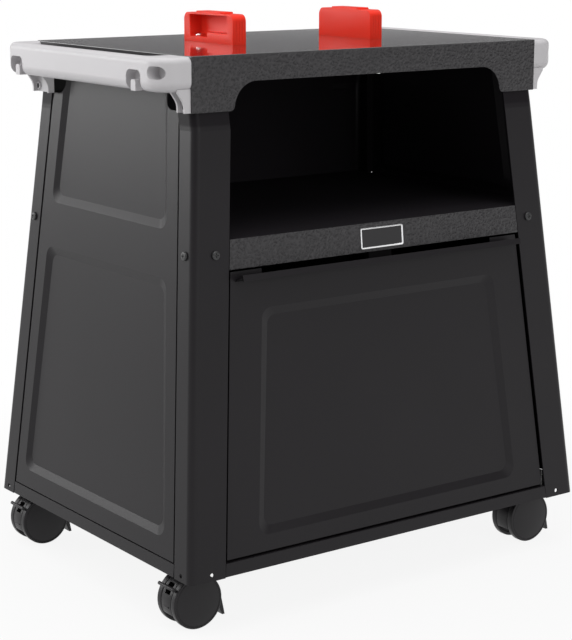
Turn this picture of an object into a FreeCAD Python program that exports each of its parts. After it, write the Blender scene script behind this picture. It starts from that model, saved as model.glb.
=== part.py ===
import FreeCAD, Part
import math
import os
import Sketcher

# Grill cart with storage: a sheet steel cabinet on four twin-wheel casters.
# Origin on the floor under the middle of the cart, X along the front,
# Y from front to back, Z up. All sizes in millimetres.

SIZES = {
    # top cover and its skirts
    "cart_height": 750.0,
    "cover_length": 590.0,
    "cover_depth": 402.0,
    "skirt_drop": 72.0,
    "cover_edge_round": 1.2,
    "skirt_ear": 36.0,
    "skirt_bay_drop": 50.0,
    "skirt_bay_round": 5.0,
    "panel_sheet": 1.5,
    "running_gap": 0.3,
    "overlap": 1.0,
    # legs
    "leg_sheet": 2.0,
    "foot_height": 76.0,
    "foot_half_length": 344.6,
    "foot_half_depth": 262.2,
    "shoulder_inset": 1.5,
    "shoulder_outset": 2.95,
    "leg_front_flange": 55.5,
    "leg_side_flange_foot": 38.0,
    "leg_side_flange_top": 34.0,
    "leg_corner_round": 10.0,
    "joggle_length": 23.0,
    "foot_hole_diameter": 6.0,
    "foot_hole_rise": 8.0,
    "foot_hole_front_inset": 34.8,
    "foot_hole_side_inset": 23.2,
    "leg_screw_drop": 18.0,
    "leg_screw_front_inset": 34.1,
    "leg_screw_side_inset": 19.0,
    "screw_shank_diameter": 5.0,
    "screw_head_diameter": 12.0,
    "screw_head_height": 3.2,
    "screw_shank_length": 9.0,
    # fascia
    "arch_side_width": 66.0,
    "arch_rise": 37.0,
    "arch_round": 34.0,
    "arch_foot_round": 7.0,
    # crossbar and badge plate
    "crossbar_high": 515.0,
    "crossbar_width": 39.0,
    "crossbar_end_gap": 1.0,
    "crossbar_return": 18.0,
    "crossbar_tab": 38.0,
    "badge_length": 74.0,
    "badge_height": 28.5,
    "badge_drop": 20.5,
    "badge_round": 1.0,
    "badge_thickness": 2.0,
    "badge_border": 1.8,
    "badge_field_depth": 0.6,
    # side and back panels
    "panel_gap": 3.5,
    "panel_recess": 0.5,
    "panel_tuck": 28.0,
    "panel_return": 12.0,
    "corner_notch_length": 29.0,
    "corner_notch_rise": 0.5,
    "corner_notch_round": 16.0,
    "back_notch_drop": 3.0,
    "emboss_depth": 4.5,
    "emboss_bevel": 11.0,
    "emboss_round": 16.0,
    "emboss_side_margin": 64.0,
    "lower_emboss_top_margin": 16.0,
    "lower_emboss_low_margin": 26.0,
    "upper_emboss_low_margin": 9.0,
    # middle shelf and bottom panel
    "shelf_flange": 38.0,
    "fold_rise": 1.0,
    "fold_height": 17.5,
    "rail_to_panel": 1.5,
    # door
    "door_low_gap": 3.5,
    "door_high_gap": 3.0,
    "door_slot_depth": 7.0,
    "door_slot_end": 53.6,
    "door_side_gap": 4.2,
    "door_recess": 3.0,
    "door_return": 14.0,
    "door_return_drop": 11.0,
    "door_return_low_round": 6.0,
    "door_emboss_top_margin": 52.0,
    "door_emboss_side_margin": 51.0,
    "door_emboss_low_margin": 22.0,
    "lip_drop": 12.0,
    "lip_reach": 18.0,
    "lip_rise": 8.0,
    "lip_hem": 8.0,
    "lip_end_inset": 12.2,
    # door hinge and catch
    "hinge_rise": 12.0,
    "hinge_inset": 7.0,
    "hinge_pin_diameter": 6.0,
    "hinge_pin_clearance": 0.05,
    "hinge_boss_diameter": 13.0,
    "hinge_boss_length": 8.0,
    "bracket_gap": 1.2,
    "bracket_sheet": 2.5,
    "bracket_depth": 26.0,
    "bracket_foot": 16.0,
    "catch_length": 40.0,
    "catch_height": 28.0,
    "catch_depth": 13.0,
    # side rails
    "rail_drop": 45.0,
    "rail_top_inset": 1.0,
    "rail_hand_gap": 27.0,
    "rail_bar": 20.0,
    "rail_front_leg": 56.0,
    "rail_rear_leg": 22.0,
    "rail_rear_reach": 11.0,
    "rail_rear_wrap": 12.0,
    "rail_front_round": 32.0,
    "rail_rear_round": 22.0,
    "rail_inner_round": 20.0,
    "rail_edge_round": 6.0,
    "rail_top_round": 8.0,
    "rail_low_round": 12.5,
    "hook_width": 35.0,
    "hook_front_start": 46.0,
    "hook_front_height": 27.0,
    "hook_rear_inset": 6.0,
    "hook_rear_height": 26.0,
    "hook_round": 9.0,
    "peg_width": 11.5,
    "peg_height": 14.5,
    "peg_front_offset": 19.5,
    "peg_rear_offset": 16.0,
    "tab_drop": 26.5,
    "tab_thickness": 3.0,
    "tab_front_start": 2.0,
    "tab_front_length": 19.0,
    "tab_front_hole_inset": 11.5,
    "tab_rear_length": 46.0,
    "tab_rear_hole_inset": 8.0,
    "tab_hole_rise": 8.5,
    "tab_boss_diameter": 11.0,
    "tab_boss_height": 5.5,
    "tab_seat_depth": 2.2,
    "tab_web": 4.0,
    "fin_thickness": 3.5,
    "fin_reach_top": 20.0,
    "fin_reach_low": 9.5,
    "fin_curve_drop": 15.0,
    "fin_round": 20.0,
    "rail_screw_head_diameter": 7.5,
    "rail_screw_head_height": 1.6,
    "dimple_length": 23.5,
    "dimple_height": 16.5,
    "dimple_depth": 18.0,
    "dimple_drop": 20.0,
    "dimple_inset": 18.3,
    # guides on the top
    "guide_middle": 120.0,
    "guide_width": 22.0,
    "guide_length": 122.0,
    "guide_offset": 7.0,
    "guide_height": 41.0,
    "guide_round": 10.0,
    "guide_wall": 2.5,
    "guide_window_height": 14.0,
    "guide_window_end": 14.5,
    "guide_cap_rise": 2.5,
    "guide_cap_round": 1.5,
    "guide_cap_inset": 30.0,
    "guide_screw_inset": 23.0,
    "guide_seat_diameter": 15.0,
    "guide_seat_depth": 6.0,
    "guide_fit": 0.3,
    "guide_plate_side_margin": 12.0,
    "guide_plate_end_margin": 10.0,
    "guide_plate_sheet": 2.0,
    # casters
    "stem_side_inset": 45.4,
    "stem_end_inset": 54.2,
    "caster_trail": 11.5,
    "wheel_diameter": 75.0,
    "wheel_width": 9.7,
    "wheel_dome": 2.4,
    "wheel_edge_round": 2.0,
    "wheel_gap": 0.6,
    "wheel_cap": 3.0,
    "hood_width": 22.4,
    "hood_inset": 0.5,
    "hood_cheek_radius": 27.0,
    "hood_open_height": 22.0,
    "hood_skirt_overhang": 23.5,
    "hood_skirt_low": 7.0,
    "hood_skirt_foot": 8.0,
    "neck_diameter": 22.0,
    "stem_diameter": 11.0,
    "stem_clearance": 0.05,
    "stem_length": 30.0,
    "mount_plate_length": 60.0,
    "mount_plate_sheet": 2.5,
    "mount_collar_diameter": 20.0,
    "mount_collar_height": 2.2,
    "axle_diameter": 8.0,
    "axle_clearance": 0.05,
    "lever_end_overhang": 7.3,
    "lever_overhang": 5.3,
    "lever_angle": 33.0,
    "lever_thickness": 5.0,
    "lever_pin_diameter": 4.0,
    "lever_pin_inset": 7.0,
}


class Size:
    """A number together with the expression that gives it from the sheet."""

    def __init__(self, value, text):
        self.value = float(value)
        self.text = text

    def __add__(self, other):
        other = as_size(other)
        return Size(self.value + other.value, "(%s + %s)" % (self.text, other.text))

    def __sub__(self, other):
        other = as_size(other)
        return Size(self.value - other.value, "(%s - %s)" % (self.text, other.text))

    def __mul__(self, other):
        other = as_size(other)
        return Size(self.value * other.value, "(%s * %s)" % (self.text, other.text))

    def __truediv__(self, other):
        other = as_size(other)
        return Size(self.value / other.value, "(%s / %s)" % (self.text, other.text))

    def __neg__(self):
        return Size(-self.value, "(0 - %s)" % self.text)

    def __radd__(self, other):
        return as_size(other) + self

    def __rsub__(self, other):
        return as_size(other) - self

    def __rmul__(self, other):
        return as_size(other) * self


def as_size(number):
    if isinstance(number, Size):
        return number
    return Size(number, "%.6f" % number)


def root(number):
    return Size(math.sqrt(number.value), "sqrt(%s)" % number.text)


def arctangent(number):
    return Size(math.degrees(math.atan(number.value)), "(atan(%s) / 1 deg)" % number.text)


def sine(degrees):
    return Size(math.sin(math.radians(degrees.value)), "sin(%s * 1 deg)" % degrees.text)


def cosine(degrees):
    return Size(math.cos(math.radians(degrees.value)), "cos(%s * 1 deg)" % degrees.text)


os.makedirs("parts", exist_ok=True)
document = FreeCAD.newDocument("grill_cart_with_storage")
sheet = document.addObject("Spreadsheet::Sheet", "Sizes")


class Named:
    pass


c = Named()
for row, (alias, number) in enumerate(SIZES.items(), 1):
    sheet.set("A%d" % row, alias)
    sheet.set("B%d" % row, str(number))
    sheet.setAlias("B%d" % row, alias)
    setattr(c, alias, Size(number, "Sizes." + alias))
document.recompute()


def origin_plane(body, role):
    for feature in body.Origin.OriginFeatures:
        if feature.Role == role:
            return feature
    raise RuntimeError("no origin plane " + role)


def placement_text(position, turn):
    place = "; ".join(as_size(v).text for v in position)
    angles = "; ".join(as_size(v).text for v in turn)
    return "placement(vector(%s); rotation(%s))" % (place, angles)


def new_body(name, position=(0, 0, 0), turn=(0, 0, 0)):
    body = document.addObject("PartDesign::Body", name)
    body.Label = name
    body.setExpression("Placement", placement_text(position, turn))
    return body


def new_sketch(body, name, position=(0, 0, 0), turn=(0, 0, 0)):
    drawing = body.newObject("Sketcher::SketchObject", body.Name + "_" + name)
    drawing.AttachmentSupport = [(origin_plane(body, "XY_Plane"), "")]
    drawing.MapMode = "FlatFace"
    drawing.setExpression("AttachmentOffset", placement_text(position, turn))
    return drawing


def dimension(drawing, kind, index, point, size):
    number = drawing.addConstraint(Sketcher.Constraint(kind, -1, 1, index, point, size.value))
    drawing.setExpression("Constraints[%d]" % number, size.text)


def draw_outline(drawing, corners):
    """Close a polygon through (x, y) or (x, y, radius) corners; a radius rounds its corner."""
    points = [(as_size(p[0]), as_size(p[1])) for p in corners]
    radii = [as_size(p[2]) if len(p) > 2 else None for p in corners]
    count = len(points)
    vectors = [FreeCAD.Vector(x.value, y.value, 0) for x, y in points]
    cuts = []
    for i in range(count):
        if radii[i] is None:
            cuts.append((vectors[i], vectors[i], None))
            continue
        before = (vectors[i - 1] - vectors[i]).normalize()
        after = (vectors[(i + 1) % count] - vectors[i]).normalize()
        half = before.getAngle(after) / 2
        reach = radii[i].value / math.tan(half)
        middle = (before + after).normalize() * (radii[i].value / math.sin(half))
        cuts.append((vectors[i] + before * reach, vectors[i] + after * reach, vectors[i] + middle))
    lines = []
    for i in range(count):
        segment = Part.LineSegment(cuts[i][1], cuts[(i + 1) % count][0])
        lines.append(drawing.addGeometry(segment, False))
    for i in range(count):
        came, goes = lines[i - 1], lines[i]
        x, y = points[i]
        if radii[i] is None:
            drawing.addConstraint(Sketcher.Constraint("Coincident", came, 2, goes, 1))
            dimension(drawing, "DistanceX", goes, 1, x)
            dimension(drawing, "DistanceY", goes, 1, y)
            continue
        start, end, middle = cuts[i]
        first = math.atan2(start.y - middle.y, start.x - middle.x)
        last = math.atan2(end.y - middle.y, end.x - middle.x)
        turn = (last - first + math.pi) % (2 * math.pi) - math.pi
        circle = Part.Circle(middle, FreeCAD.Vector(0, 0, 1), radii[i].value)
        if turn > 0:
            arc = drawing.addGeometry(Part.ArcOfCircle(circle, first, first + turn), False)
            ends = (1, 2)
        else:
            arc = drawing.addGeometry(Part.ArcOfCircle(circle, last, last - turn), False)
            ends = (2, 1)
        drawing.addConstraint(Sketcher.Constraint("Tangent", came, 2, arc, ends[0]))
        drawing.addConstraint(Sketcher.Constraint("Tangent", arc, ends[1], goes, 1))
        number = drawing.addConstraint(Sketcher.Constraint("Radius", arc, radii[i].value))
        drawing.setExpression("Constraints[%d]" % number, radii[i].text)
        corner = drawing.addGeometry(Part.Point(vectors[i]), True)
        drawing.addConstraint(Sketcher.Constraint("PointOnObject", corner, 1, came))
        drawing.addConstraint(Sketcher.Constraint("PointOnObject", corner, 1, goes))
        dimension(drawing, "DistanceX", corner, 1, x)
        dimension(drawing, "DistanceY", corner, 1, y)


def draw_circle(drawing, x, y, diameter):
    x, y = as_size(x), as_size(y)
    middle = FreeCAD.Vector(x.value, y.value, 0)
    circle = Part.Circle(middle, FreeCAD.Vector(0, 0, 1), diameter.value / 2)
    index = drawing.addGeometry(circle, False)
    number = drawing.addConstraint(Sketcher.Constraint("Diameter", index, diameter.value))
    drawing.setExpression("Constraints[%d]" % number, diameter.text)
    dimension(drawing, "DistanceX", index, 3, x)
    dimension(drawing, "DistanceY", index, 3, y)


def rectangle(x_low, x_high, y_low, y_high, radius=None):
    corners = [(x_low, y_low), (x_high, y_low), (x_high, y_high), (x_low, y_high)]
    if radius is None:
        return corners
    return [(x, y, radius) for x, y in corners]


def add_pad(body, drawing, length, backward=False, middle=False):
    pad = body.newObject("PartDesign::Pad", drawing.Name + "_pad")
    pad.Profile = drawing
    pad.Reversed = backward
    pad.Midplane = middle
    pad.setExpression("Length", as_size(length).text)
    drawing.Visibility = False
    return pad


def add_pocket(body, drawing, length, backward=False, middle=False):
    document.recompute()
    before = body.Shape.Volume
    pocket = body.newObject("PartDesign::Pocket", drawing.Name + "_pocket")
    pocket.Profile = drawing
    pocket.Reversed = backward
    pocket.Midplane = middle
    pocket.setExpression("Length", as_size(length).text)
    document.recompute()
    if body.Shape.Volume > before - 0.5:
        raise RuntimeError("a pocket cuts nothing: " + pocket.Name)
    return pocket


def add_turned(body, drawing, name, groove=False):
    kind = "PartDesign::Groove" if groove else "PartDesign::Revolution"
    turned = body.newObject(kind, body.Name + "_" + name)
    turned.Profile = drawing
    turned.ReferenceAxis = (drawing, ["V_Axis"])
    turned.Angle = 360
    return turned


def round_edges(body, radius, wanted):
    """Round every edge of the body that the test picks out."""
    document.recompute()
    tip = body.Tip
    names = []
    for number, edge in enumerate(tip.Shape.Edges, 1):
        if wanted(edge):
            names.append("Edge%d" % number)
    if not names:
        raise RuntimeError("no edges to round on " + body.Name)
    rounding = body.newObject("PartDesign::Fillet", body.Name + "_round")
    rounding.Base = (tip, names)
    rounding.setExpression("Radius", as_size(radius).text)
    document.recompute()
    return rounding


def middle_of(edge):
    return edge.valueAt((edge.FirstParameter + edge.LastParameter) / 2)


# Sizes that follow from others, each kept in the sheet under a name of its own

def work_out(alias, size):
    row = len(SIZES) + 1 + len(worked_out)
    worked_out.append(alias)
    sheet.set("A%d" % row, alias)
    sheet.set("B%d" % row, "=" + size.text.replace("Sizes.", ""))
    sheet.setAlias("B%d" % row, alias)
    document.recompute()
    return Size(size.value, "Sizes." + alias)


worked_out = []
skirt_low = work_out("skirt_low", c.cart_height - c.skirt_drop)
joggle_low = work_out("joggle_low", skirt_low - c.joggle_length)
leg_top = work_out("leg_top", c.cart_height - c.panel_sheet)
half_cover = work_out("half_cover", c.cover_length / 2)
half_depth = work_out("half_depth", c.cover_depth / 2)
leg_rise = joggle_low - c.foot_height
lean_length = work_out("lean_length", (c.foot_half_length - half_cover + c.shoulder_inset) / leg_rise)
lean_depth = work_out("lean_depth", (c.foot_half_depth - half_depth - c.shoulder_outset) / leg_rise)
rise_front = work_out("rise_front", root(1 + lean_depth * lean_depth))
rise_side = work_out("rise_side", root(1 + lean_length * lean_length))
front_turn = work_out("front_turn", 90 - arctangent(lean_depth))
side_turn = work_out("side_turn", 90 - arctangent(lean_length))


# Common lines of the leaning cabinet

def half_length_at(height):
    return c.foot_half_length - lean_length * (height - c.foot_height)


def half_depth_at(height):
    return c.foot_half_depth - lean_depth * (height - c.foot_height)


def up_front(height):
    """Distance up the leaning front or back plane, measured from the feet."""
    return (height - c.foot_height) * rise_front


def up_side(height):
    return (height - c.foot_height) * rise_side


def leg_edge_at(height):
    return half_length_at(height) - c.leg_front_flange


def leg_side_edge_at(height):
    share = (height - c.foot_height) / (joggle_low - c.foot_height)
    flange = c.leg_side_flange_foot - (c.leg_side_flange_foot - c.leg_side_flange_top) * share
    return half_depth_at(height) - flange


def door_edge_at(height):
    return leg_edge_at(height) - c.door_side_gap


crossbar_low = work_out("crossbar_low", c.crossbar_high - c.crossbar_width)
leg_screw_height = work_out("leg_screw_height", c.crossbar_high - c.leg_screw_drop)
leg_screw_front_half = work_out(
    "leg_screw_front_half", half_length_at(leg_screw_height) - c.leg_screw_front_inset)
leg_screw_side_half = work_out(
    "leg_screw_side_half", half_depth_at(leg_screw_height) - c.leg_screw_side_inset)
panel_top = work_out("panel_top", skirt_low + c.panel_tuck)
fold_low = work_out("fold_low", c.foot_height + c.fold_rise)
fold_high = work_out("fold_high", fold_low + c.fold_height)
door_low = work_out("door_low", fold_high + c.door_low_gap)
door_high = work_out("door_high", crossbar_low - c.door_high_gap)
hinge_height = work_out("hinge_height", door_low + c.hinge_rise)
tab_front_hole = c.tab_front_hole_inset
tab_rear_hole = work_out("tab_rear_hole", c.cover_depth - c.tab_rear_hole_inset)
tab_hole_height = work_out("tab_hole_height", skirt_low + c.tab_hole_rise)
stem_half_length = work_out("stem_half_length", c.foot_half_length - c.stem_side_inset)
stem_half_depth = work_out("stem_half_depth", c.foot_half_depth - c.stem_end_inset)
mount_low = work_out("mount_low", fold_high - c.panel_sheet - c.mount_plate_sheet)
neck_height = work_out("neck_height", mount_low - c.mount_collar_height - c.running_gap)


def front_plane(inset=0):
    """Place and turn of the leaning front plane, its origin at foot height."""
    inset = as_size(inset)
    depth = inset / rise_front
    drop = inset * lean_depth / rise_front
    return (0, depth - c.foot_half_depth, c.foot_height - drop), (0, 0, front_turn)


def back_plane(inset=0):
    inset = as_size(inset)
    depth = inset / rise_front
    drop = inset * lean_depth / rise_front
    return (0, c.foot_half_depth - depth, c.foot_height - drop), (180, 0, front_turn)


def side_plane(side, inset=0):
    inset = as_size(inset)
    depth = inset / rise_side
    drop = inset * lean_length / rise_side
    place = (side * (c.foot_half_length - depth), 0, c.foot_height - drop)
    return place, (90 * side, 0, side_turn)


nodes = []


# Four corner legs: L-section sheet lofted from foot to joggle and up under the cover

def make_leg(name, side, end):
    body = new_body(name, (side * c.foot_half_length, end * c.foot_half_depth, c.foot_height))
    inside = half_cover - c.panel_sheet - c.running_gap
    inside_depth = half_depth - c.panel_sheet - c.running_gap
    levels = [
        (c.foot_height, half_length_at(c.foot_height), half_depth_at(c.foot_height),
         c.leg_side_flange_foot),
        (joggle_low, half_length_at(joggle_low), half_depth_at(joggle_low),
         c.leg_side_flange_top),
        (skirt_low, inside, inside_depth, c.leg_side_flange_top),
        (leg_top, inside, inside_depth, c.leg_side_flange_top),
    ]
    drawings = []
    for number, (height, length, depth, flange) in enumerate(levels):
        drawing = new_sketch(body, "section_%d" % number, (0, 0, height - c.foot_height))
        x = (length - c.foot_half_length) * side
        y = (depth - c.foot_half_depth) * end
        wall = c.leg_sheet
        front = c.leg_front_flange
        draw_outline(drawing, [
            (x - side * front, y),
            (x, y, c.leg_corner_round),
            (x, y - end * flange),
            (x - side * wall, y - end * flange),
            (x - side * wall, y - end * wall, c.leg_corner_round - c.leg_sheet),
            (x - side * front, y - end * wall),
        ])
        drawings.append(drawing)
    loft = body.newObject("PartDesign::AdditiveLoft", name + "_loft")
    loft.Profile = drawings[0]
    loft.Sections = drawings[1:]
    loft.Ruled = True
    # see-through holes near the foot and screw holes at the shelf
    front_turned = (0 if end < 0 else 180, 0, front_turn)
    front_hole = new_sketch(body, "front_holes", (0, 0, 0), front_turned)
    sign = -side * end
    low = up_front(c.foot_height + c.foot_hole_rise)
    screw = up_front(leg_screw_height)
    draw_circle(front_hole, -c.foot_hole_front_inset * sign, low, c.foot_hole_diameter)
    inset = (leg_screw_front_half - c.foot_half_length) * sign
    draw_circle(front_hole, inset, screw, c.screw_shank_diameter + c.running_gap)
    add_pocket(body, front_hole, c.leg_sheet * 6, middle=True)
    side_hole = new_sketch(body, "side_holes", (0, 0, 0), (90 * side, 0, side_turn))
    sign = side * end
    low = up_side(c.foot_height + c.foot_hole_rise)
    screw = up_side(leg_screw_height)
    draw_circle(side_hole, -c.foot_hole_side_inset * sign, low, c.foot_hole_diameter)
    inset = (leg_screw_side_half - c.foot_half_depth) * sign
    draw_circle(side_hole, inset, screw, c.screw_shank_diameter + c.running_gap)
    add_pocket(body, side_hole, c.leg_sheet * 6, middle=True)
    along = (tab_front_hole if end < 0 else tab_rear_hole) - half_depth
    rail_hole = new_sketch(body, "rail_hole", (side * (inside - c.foot_half_length), 0, 0),
                           (90 * side, 0, 90))
    draw_circle(rail_hole, side * (along - end * c.foot_half_depth),
                tab_hole_height - c.foot_height, c.screw_shank_diameter + c.running_gap)
    add_pocket(body, rail_hole, c.leg_sheet * 6, middle=True)
    nodes.append(body)


make_leg("leg_front_left", -1, -1)
make_leg("leg_front_right", 1, -1)
make_leg("leg_rear_left", -1, 1)
make_leg("leg_rear_right", 1, 1)


# Top cover: one sheet with side and rear skirts and two cut-outs for the guides; the
# side skirts reach down only in front of the legs

cover = new_body("top_cover", (0, 0, c.cart_height))
top_drawing = new_sketch(cover, "top")
draw_outline(top_drawing, rectangle(-half_cover, half_cover, -half_depth, half_depth))
add_pad(cover, top_drawing, c.panel_sheet, backward=True)
skirt_drawing = new_sketch(cover, "skirts", (0, 0, -c.panel_sheet))
skirt_front = c.panel_sheet - half_depth
skirt_inner = half_cover - c.panel_sheet
draw_outline(skirt_drawing, [
    (-half_cover, skirt_front),
    (-half_cover, half_depth),
    (half_cover, half_depth),
    (half_cover, skirt_front),
    (skirt_inner, skirt_front),
    (skirt_inner, half_depth - c.panel_sheet),
    (-skirt_inner, half_depth - c.panel_sheet),
    (-skirt_inner, skirt_front),
])
add_pad(cover, skirt_drawing, c.skirt_drop - c.panel_sheet, backward=True)
round_edges(cover, c.cover_edge_round, lambda edge: abs(middle_of(edge).z) < 0.01)
bay_drawing = new_sketch(cover, "skirt_bays", (0, 0, 0), (90, 0, 90))
bay_half = half_depth - c.skirt_ear
draw_outline(bay_drawing, [
    (-bay_half, -c.skirt_drop - c.overlap), (bay_half, -c.skirt_drop - c.overlap),
    (bay_half, -c.skirt_bay_drop, c.skirt_bay_round),
    (-bay_half, -c.skirt_bay_drop, c.skirt_bay_round)])
add_pocket(cover, bay_drawing, c.cover_length * 2, middle=True)
cut_drawing = new_sketch(cover, "guide_cuts")
for side in (-1, 1):
    middle = side * c.guide_middle
    half = c.guide_width / 2 + c.guide_fit
    reach = c.guide_length / 2 + c.guide_fit
    draw_outline(cut_drawing, rectangle(
        middle - half, middle + half, c.guide_offset - reach, c.guide_offset + reach))
add_pocket(cover, cut_drawing, c.panel_sheet * 4, middle=True)
skirt_holes = new_sketch(cover, "rail_screw_holes", (0, 0, 0), (90, 0, 90))
for along in (tab_front_hole, tab_rear_hole):
    draw_circle(skirt_holes, along - half_depth, tab_hole_height - c.cart_height,
                c.screw_shank_diameter + c.running_gap)
add_pocket(cover, skirt_holes, c.cover_length * 2, middle=True)
nodes.append(cover)


# Front fascia: plate with the arched top of the upper opening

fascia_low = skirt_low
arch_height = skirt_low + c.arch_rise
fascia = new_body("front_fascia", (0, -half_depth, 0), (0, 0, 90))
fascia_drawing = new_sketch(fascia, "outline")
arch = half_cover - c.arch_side_width
draw_outline(fascia_drawing, [
    (-half_cover, fascia_low),
    (-arch, fascia_low, c.arch_foot_round),
    (-arch, arch_height, c.arch_round),
    (arch, arch_height, c.arch_round),
    (arch, fascia_low, c.arch_foot_round),
    (half_cover, fascia_low),
    (half_cover, leg_top),
    (-half_cover, leg_top),
])
add_pad(fascia, fascia_drawing, c.panel_sheet, backward=True)
nodes.append(fascia)


# Front crossbar: leaning face, return under it, and tabs behind the leg flanges

crossbar = new_body("front_crossbar", *front_plane())
face_drawing = new_sketch(crossbar, "face")
bar_low = up_front(crossbar_low)
bar_high = up_front(c.crossbar_high)
draw_outline(face_drawing, [
    (c.crossbar_end_gap - leg_edge_at(crossbar_low), bar_low),
    (leg_edge_at(crossbar_low) - c.crossbar_end_gap, bar_low),
    (leg_edge_at(c.crossbar_high) - c.crossbar_end_gap, bar_high),
    (c.crossbar_end_gap - leg_edge_at(c.crossbar_high), bar_high),
])
add_pad(crossbar, face_drawing, c.leg_sheet, backward=True)
tab_drawing = new_sketch(crossbar, "tabs", (0, 0, -c.leg_sheet))
draw_outline(tab_drawing, rectangle(
    -leg_edge_at(c.crossbar_high) - c.crossbar_tab, leg_edge_at(c.crossbar_high) + c.crossbar_tab,
    bar_low + c.leg_sheet, bar_high - c.leg_sheet))
add_pad(crossbar, tab_drawing, c.leg_sheet, backward=True)
return_drawing = new_sketch(crossbar, "return", (0, 0, -c.leg_sheet))
return_half = leg_edge_at(crossbar_low) - c.crossbar_end_gap
draw_outline(return_drawing, rectangle(
    -return_half, return_half, bar_low, bar_low + c.leg_sheet))
add_pad(crossbar, return_drawing, c.crossbar_return, backward=True)
bar_holes = new_sketch(crossbar, "screw_holes")
for side in (-1, 1):
    draw_circle(bar_holes, side * leg_screw_front_half, up_front(leg_screw_height),
                c.screw_shank_diameter + c.running_gap)
add_pocket(crossbar, bar_holes, c.leg_sheet * 8, middle=True)
nodes.append(crossbar)

# Badge plate: bare field inside a raised border

badge = new_body("badge_plate", *front_plane())
badge_drawing = new_sketch(badge, "outline")
badge_half = c.badge_length / 2
badge_middle = up_front(c.crossbar_high - c.badge_drop)
badge_low = badge_middle - c.badge_height / 2
badge_high = badge_middle + c.badge_height / 2
draw_outline(badge_drawing, rectangle(-badge_half, badge_half, badge_low, badge_high, c.badge_round))
add_pad(badge, badge_drawing, c.badge_thickness)
field_drawing = new_sketch(badge, "field", (0, 0, c.badge_thickness))
draw_outline(field_drawing, rectangle(
    c.badge_border - badge_half, badge_half - c.badge_border,
    badge_low + c.badge_border, badge_high - c.badge_border))
add_pocket(badge, field_drawing, c.badge_field_depth)
nodes.append(badge)


# Recessed fields pressed into a sheet: the back is raised first, then the front is cut

def inner_corners(corners, inset):
    """The same outline drawn in by one inset on every side, for gentle slopes."""
    (x0, y0), (x1, y1), (x2, y2), (x3, y3) = [(as_size(p[0]), as_size(p[1])) for p in corners]
    return [(x0 + inset, y0 + inset), (x1 - inset, y1 + inset),
            (x2 - inset, y2 - inset), (x3 + inset, y3 - inset)]


def add_emboss(body, name, corners, level, sheet_size):
    """Press a field inward; level is the outer face's offset on the body's own plane."""
    spread = c.emboss_bevel
    for stage, grow, depth in (("back", sheet_size, sheet_size), ("front", as_size(0), as_size(0))):
        outer = inner_corners(corners, -grow)
        inner = inner_corners(corners, spread - grow)
        first = new_sketch(body, name + "_" + stage + "_rim", (0, 0, level - depth))
        draw_outline(first, [(x, y, c.emboss_round) for x, y in outer])
        second = new_sketch(body, name + "_" + stage + "_field",
                            (0, 0, level - depth - c.emboss_depth))
        draw_outline(second, [(x, y, c.emboss_round - c.emboss_bevel / 4) for x, y in inner])
        kind = "PartDesign::AdditiveLoft" if stage == "back" else "PartDesign::SubtractiveLoft"
        loft = body.newObject(kind, body.Name + "_" + name + "_" + stage)
        loft.Profile = first
        loft.Sections = [second]
        loft.Ruled = True
        document.recompute()


# Side panels between the leg flanges, with inward returns, two recessed fields, the upper
# one open at the top, and rounded notches at the upper corners

def make_side_panel(name, side):
    body = new_body(name, *side_plane(side))
    low = fold_high + c.rail_to_panel
    high = panel_top
    level = -c.panel_recess
    edge_low = leg_side_edge_at(low) - c.panel_gap
    edge_high = leg_side_edge_at(high) - c.panel_gap
    face = new_sketch(body, "face", (0, 0, level))
    draw_outline(face, [
        (-edge_low, up_side(low)), (edge_low, up_side(low)),
        (edge_high, up_side(high)), (-edge_high, up_side(high))])
    add_pad(body, face, c.panel_sheet, backward=True)
    for number, (start, end) in enumerate((
            (low, c.crossbar_high - c.shelf_flange - c.leg_sheet * 2),
            (c.crossbar_high + c.leg_sheet, high))):
        for hand in (-1, 1):
            strip = new_sketch(body, "return_%d_%d" % (number, hand + 1), (0, 0, level))
            outer_start = leg_side_edge_at(start) - c.panel_gap
            outer_end = leg_side_edge_at(end) - c.panel_gap
            draw_outline(strip, [
                (hand * outer_start, up_side(start)),
                (hand * outer_end, up_side(end)),
                (hand * (outer_end - c.panel_sheet), up_side(end)),
                (hand * (outer_start - c.panel_sheet), up_side(start))])
            add_pad(body, strip, c.panel_return, backward=True)
    fields = (
        ("lower", low + c.lower_emboss_low_margin, crossbar_low - c.lower_emboss_top_margin),
        ("upper", c.crossbar_high + c.upper_emboss_low_margin, high + c.emboss_bevel * 2))
    for field, start, end in fields:
        margin_start = half_depth_at(start) - c.emboss_side_margin
        margin_end = half_depth_at(end) - c.emboss_side_margin
        add_emboss(body, field, [
            (-margin_start, up_side(start)), (margin_start, up_side(start)),
            (margin_end, up_side(end)), (-margin_end, up_side(end))], level, c.panel_sheet)
    trim = new_sketch(body, "trim", (0, 0, level))
    notch_low = skirt_low + c.corner_notch_rise
    notch_inner = edge_high - c.corner_notch_length
    notch_outer = edge_low + c.overlap
    above = up_side(high + c.emboss_bevel * 4)
    draw_outline(trim, [
        (-notch_outer, up_side(notch_low)),
        (-notch_inner, up_side(notch_low), c.corner_notch_round),
        (-notch_inner, up_side(high)), (notch_inner, up_side(high)),
        (notch_inner, up_side(notch_low), c.corner_notch_round),
        (notch_outer, up_side(notch_low)), (notch_outer, above), (-notch_outer, above)])
    add_pocket(body, trim, c.panel_return * 4, middle=True)
    nodes.append(body)


make_side_panel("side_panel_left", -1)
make_side_panel("side_panel_right", 1)


# Back panel inside the rear legs: ends under the cover's skirt, drawn in beside the leg tops

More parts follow.
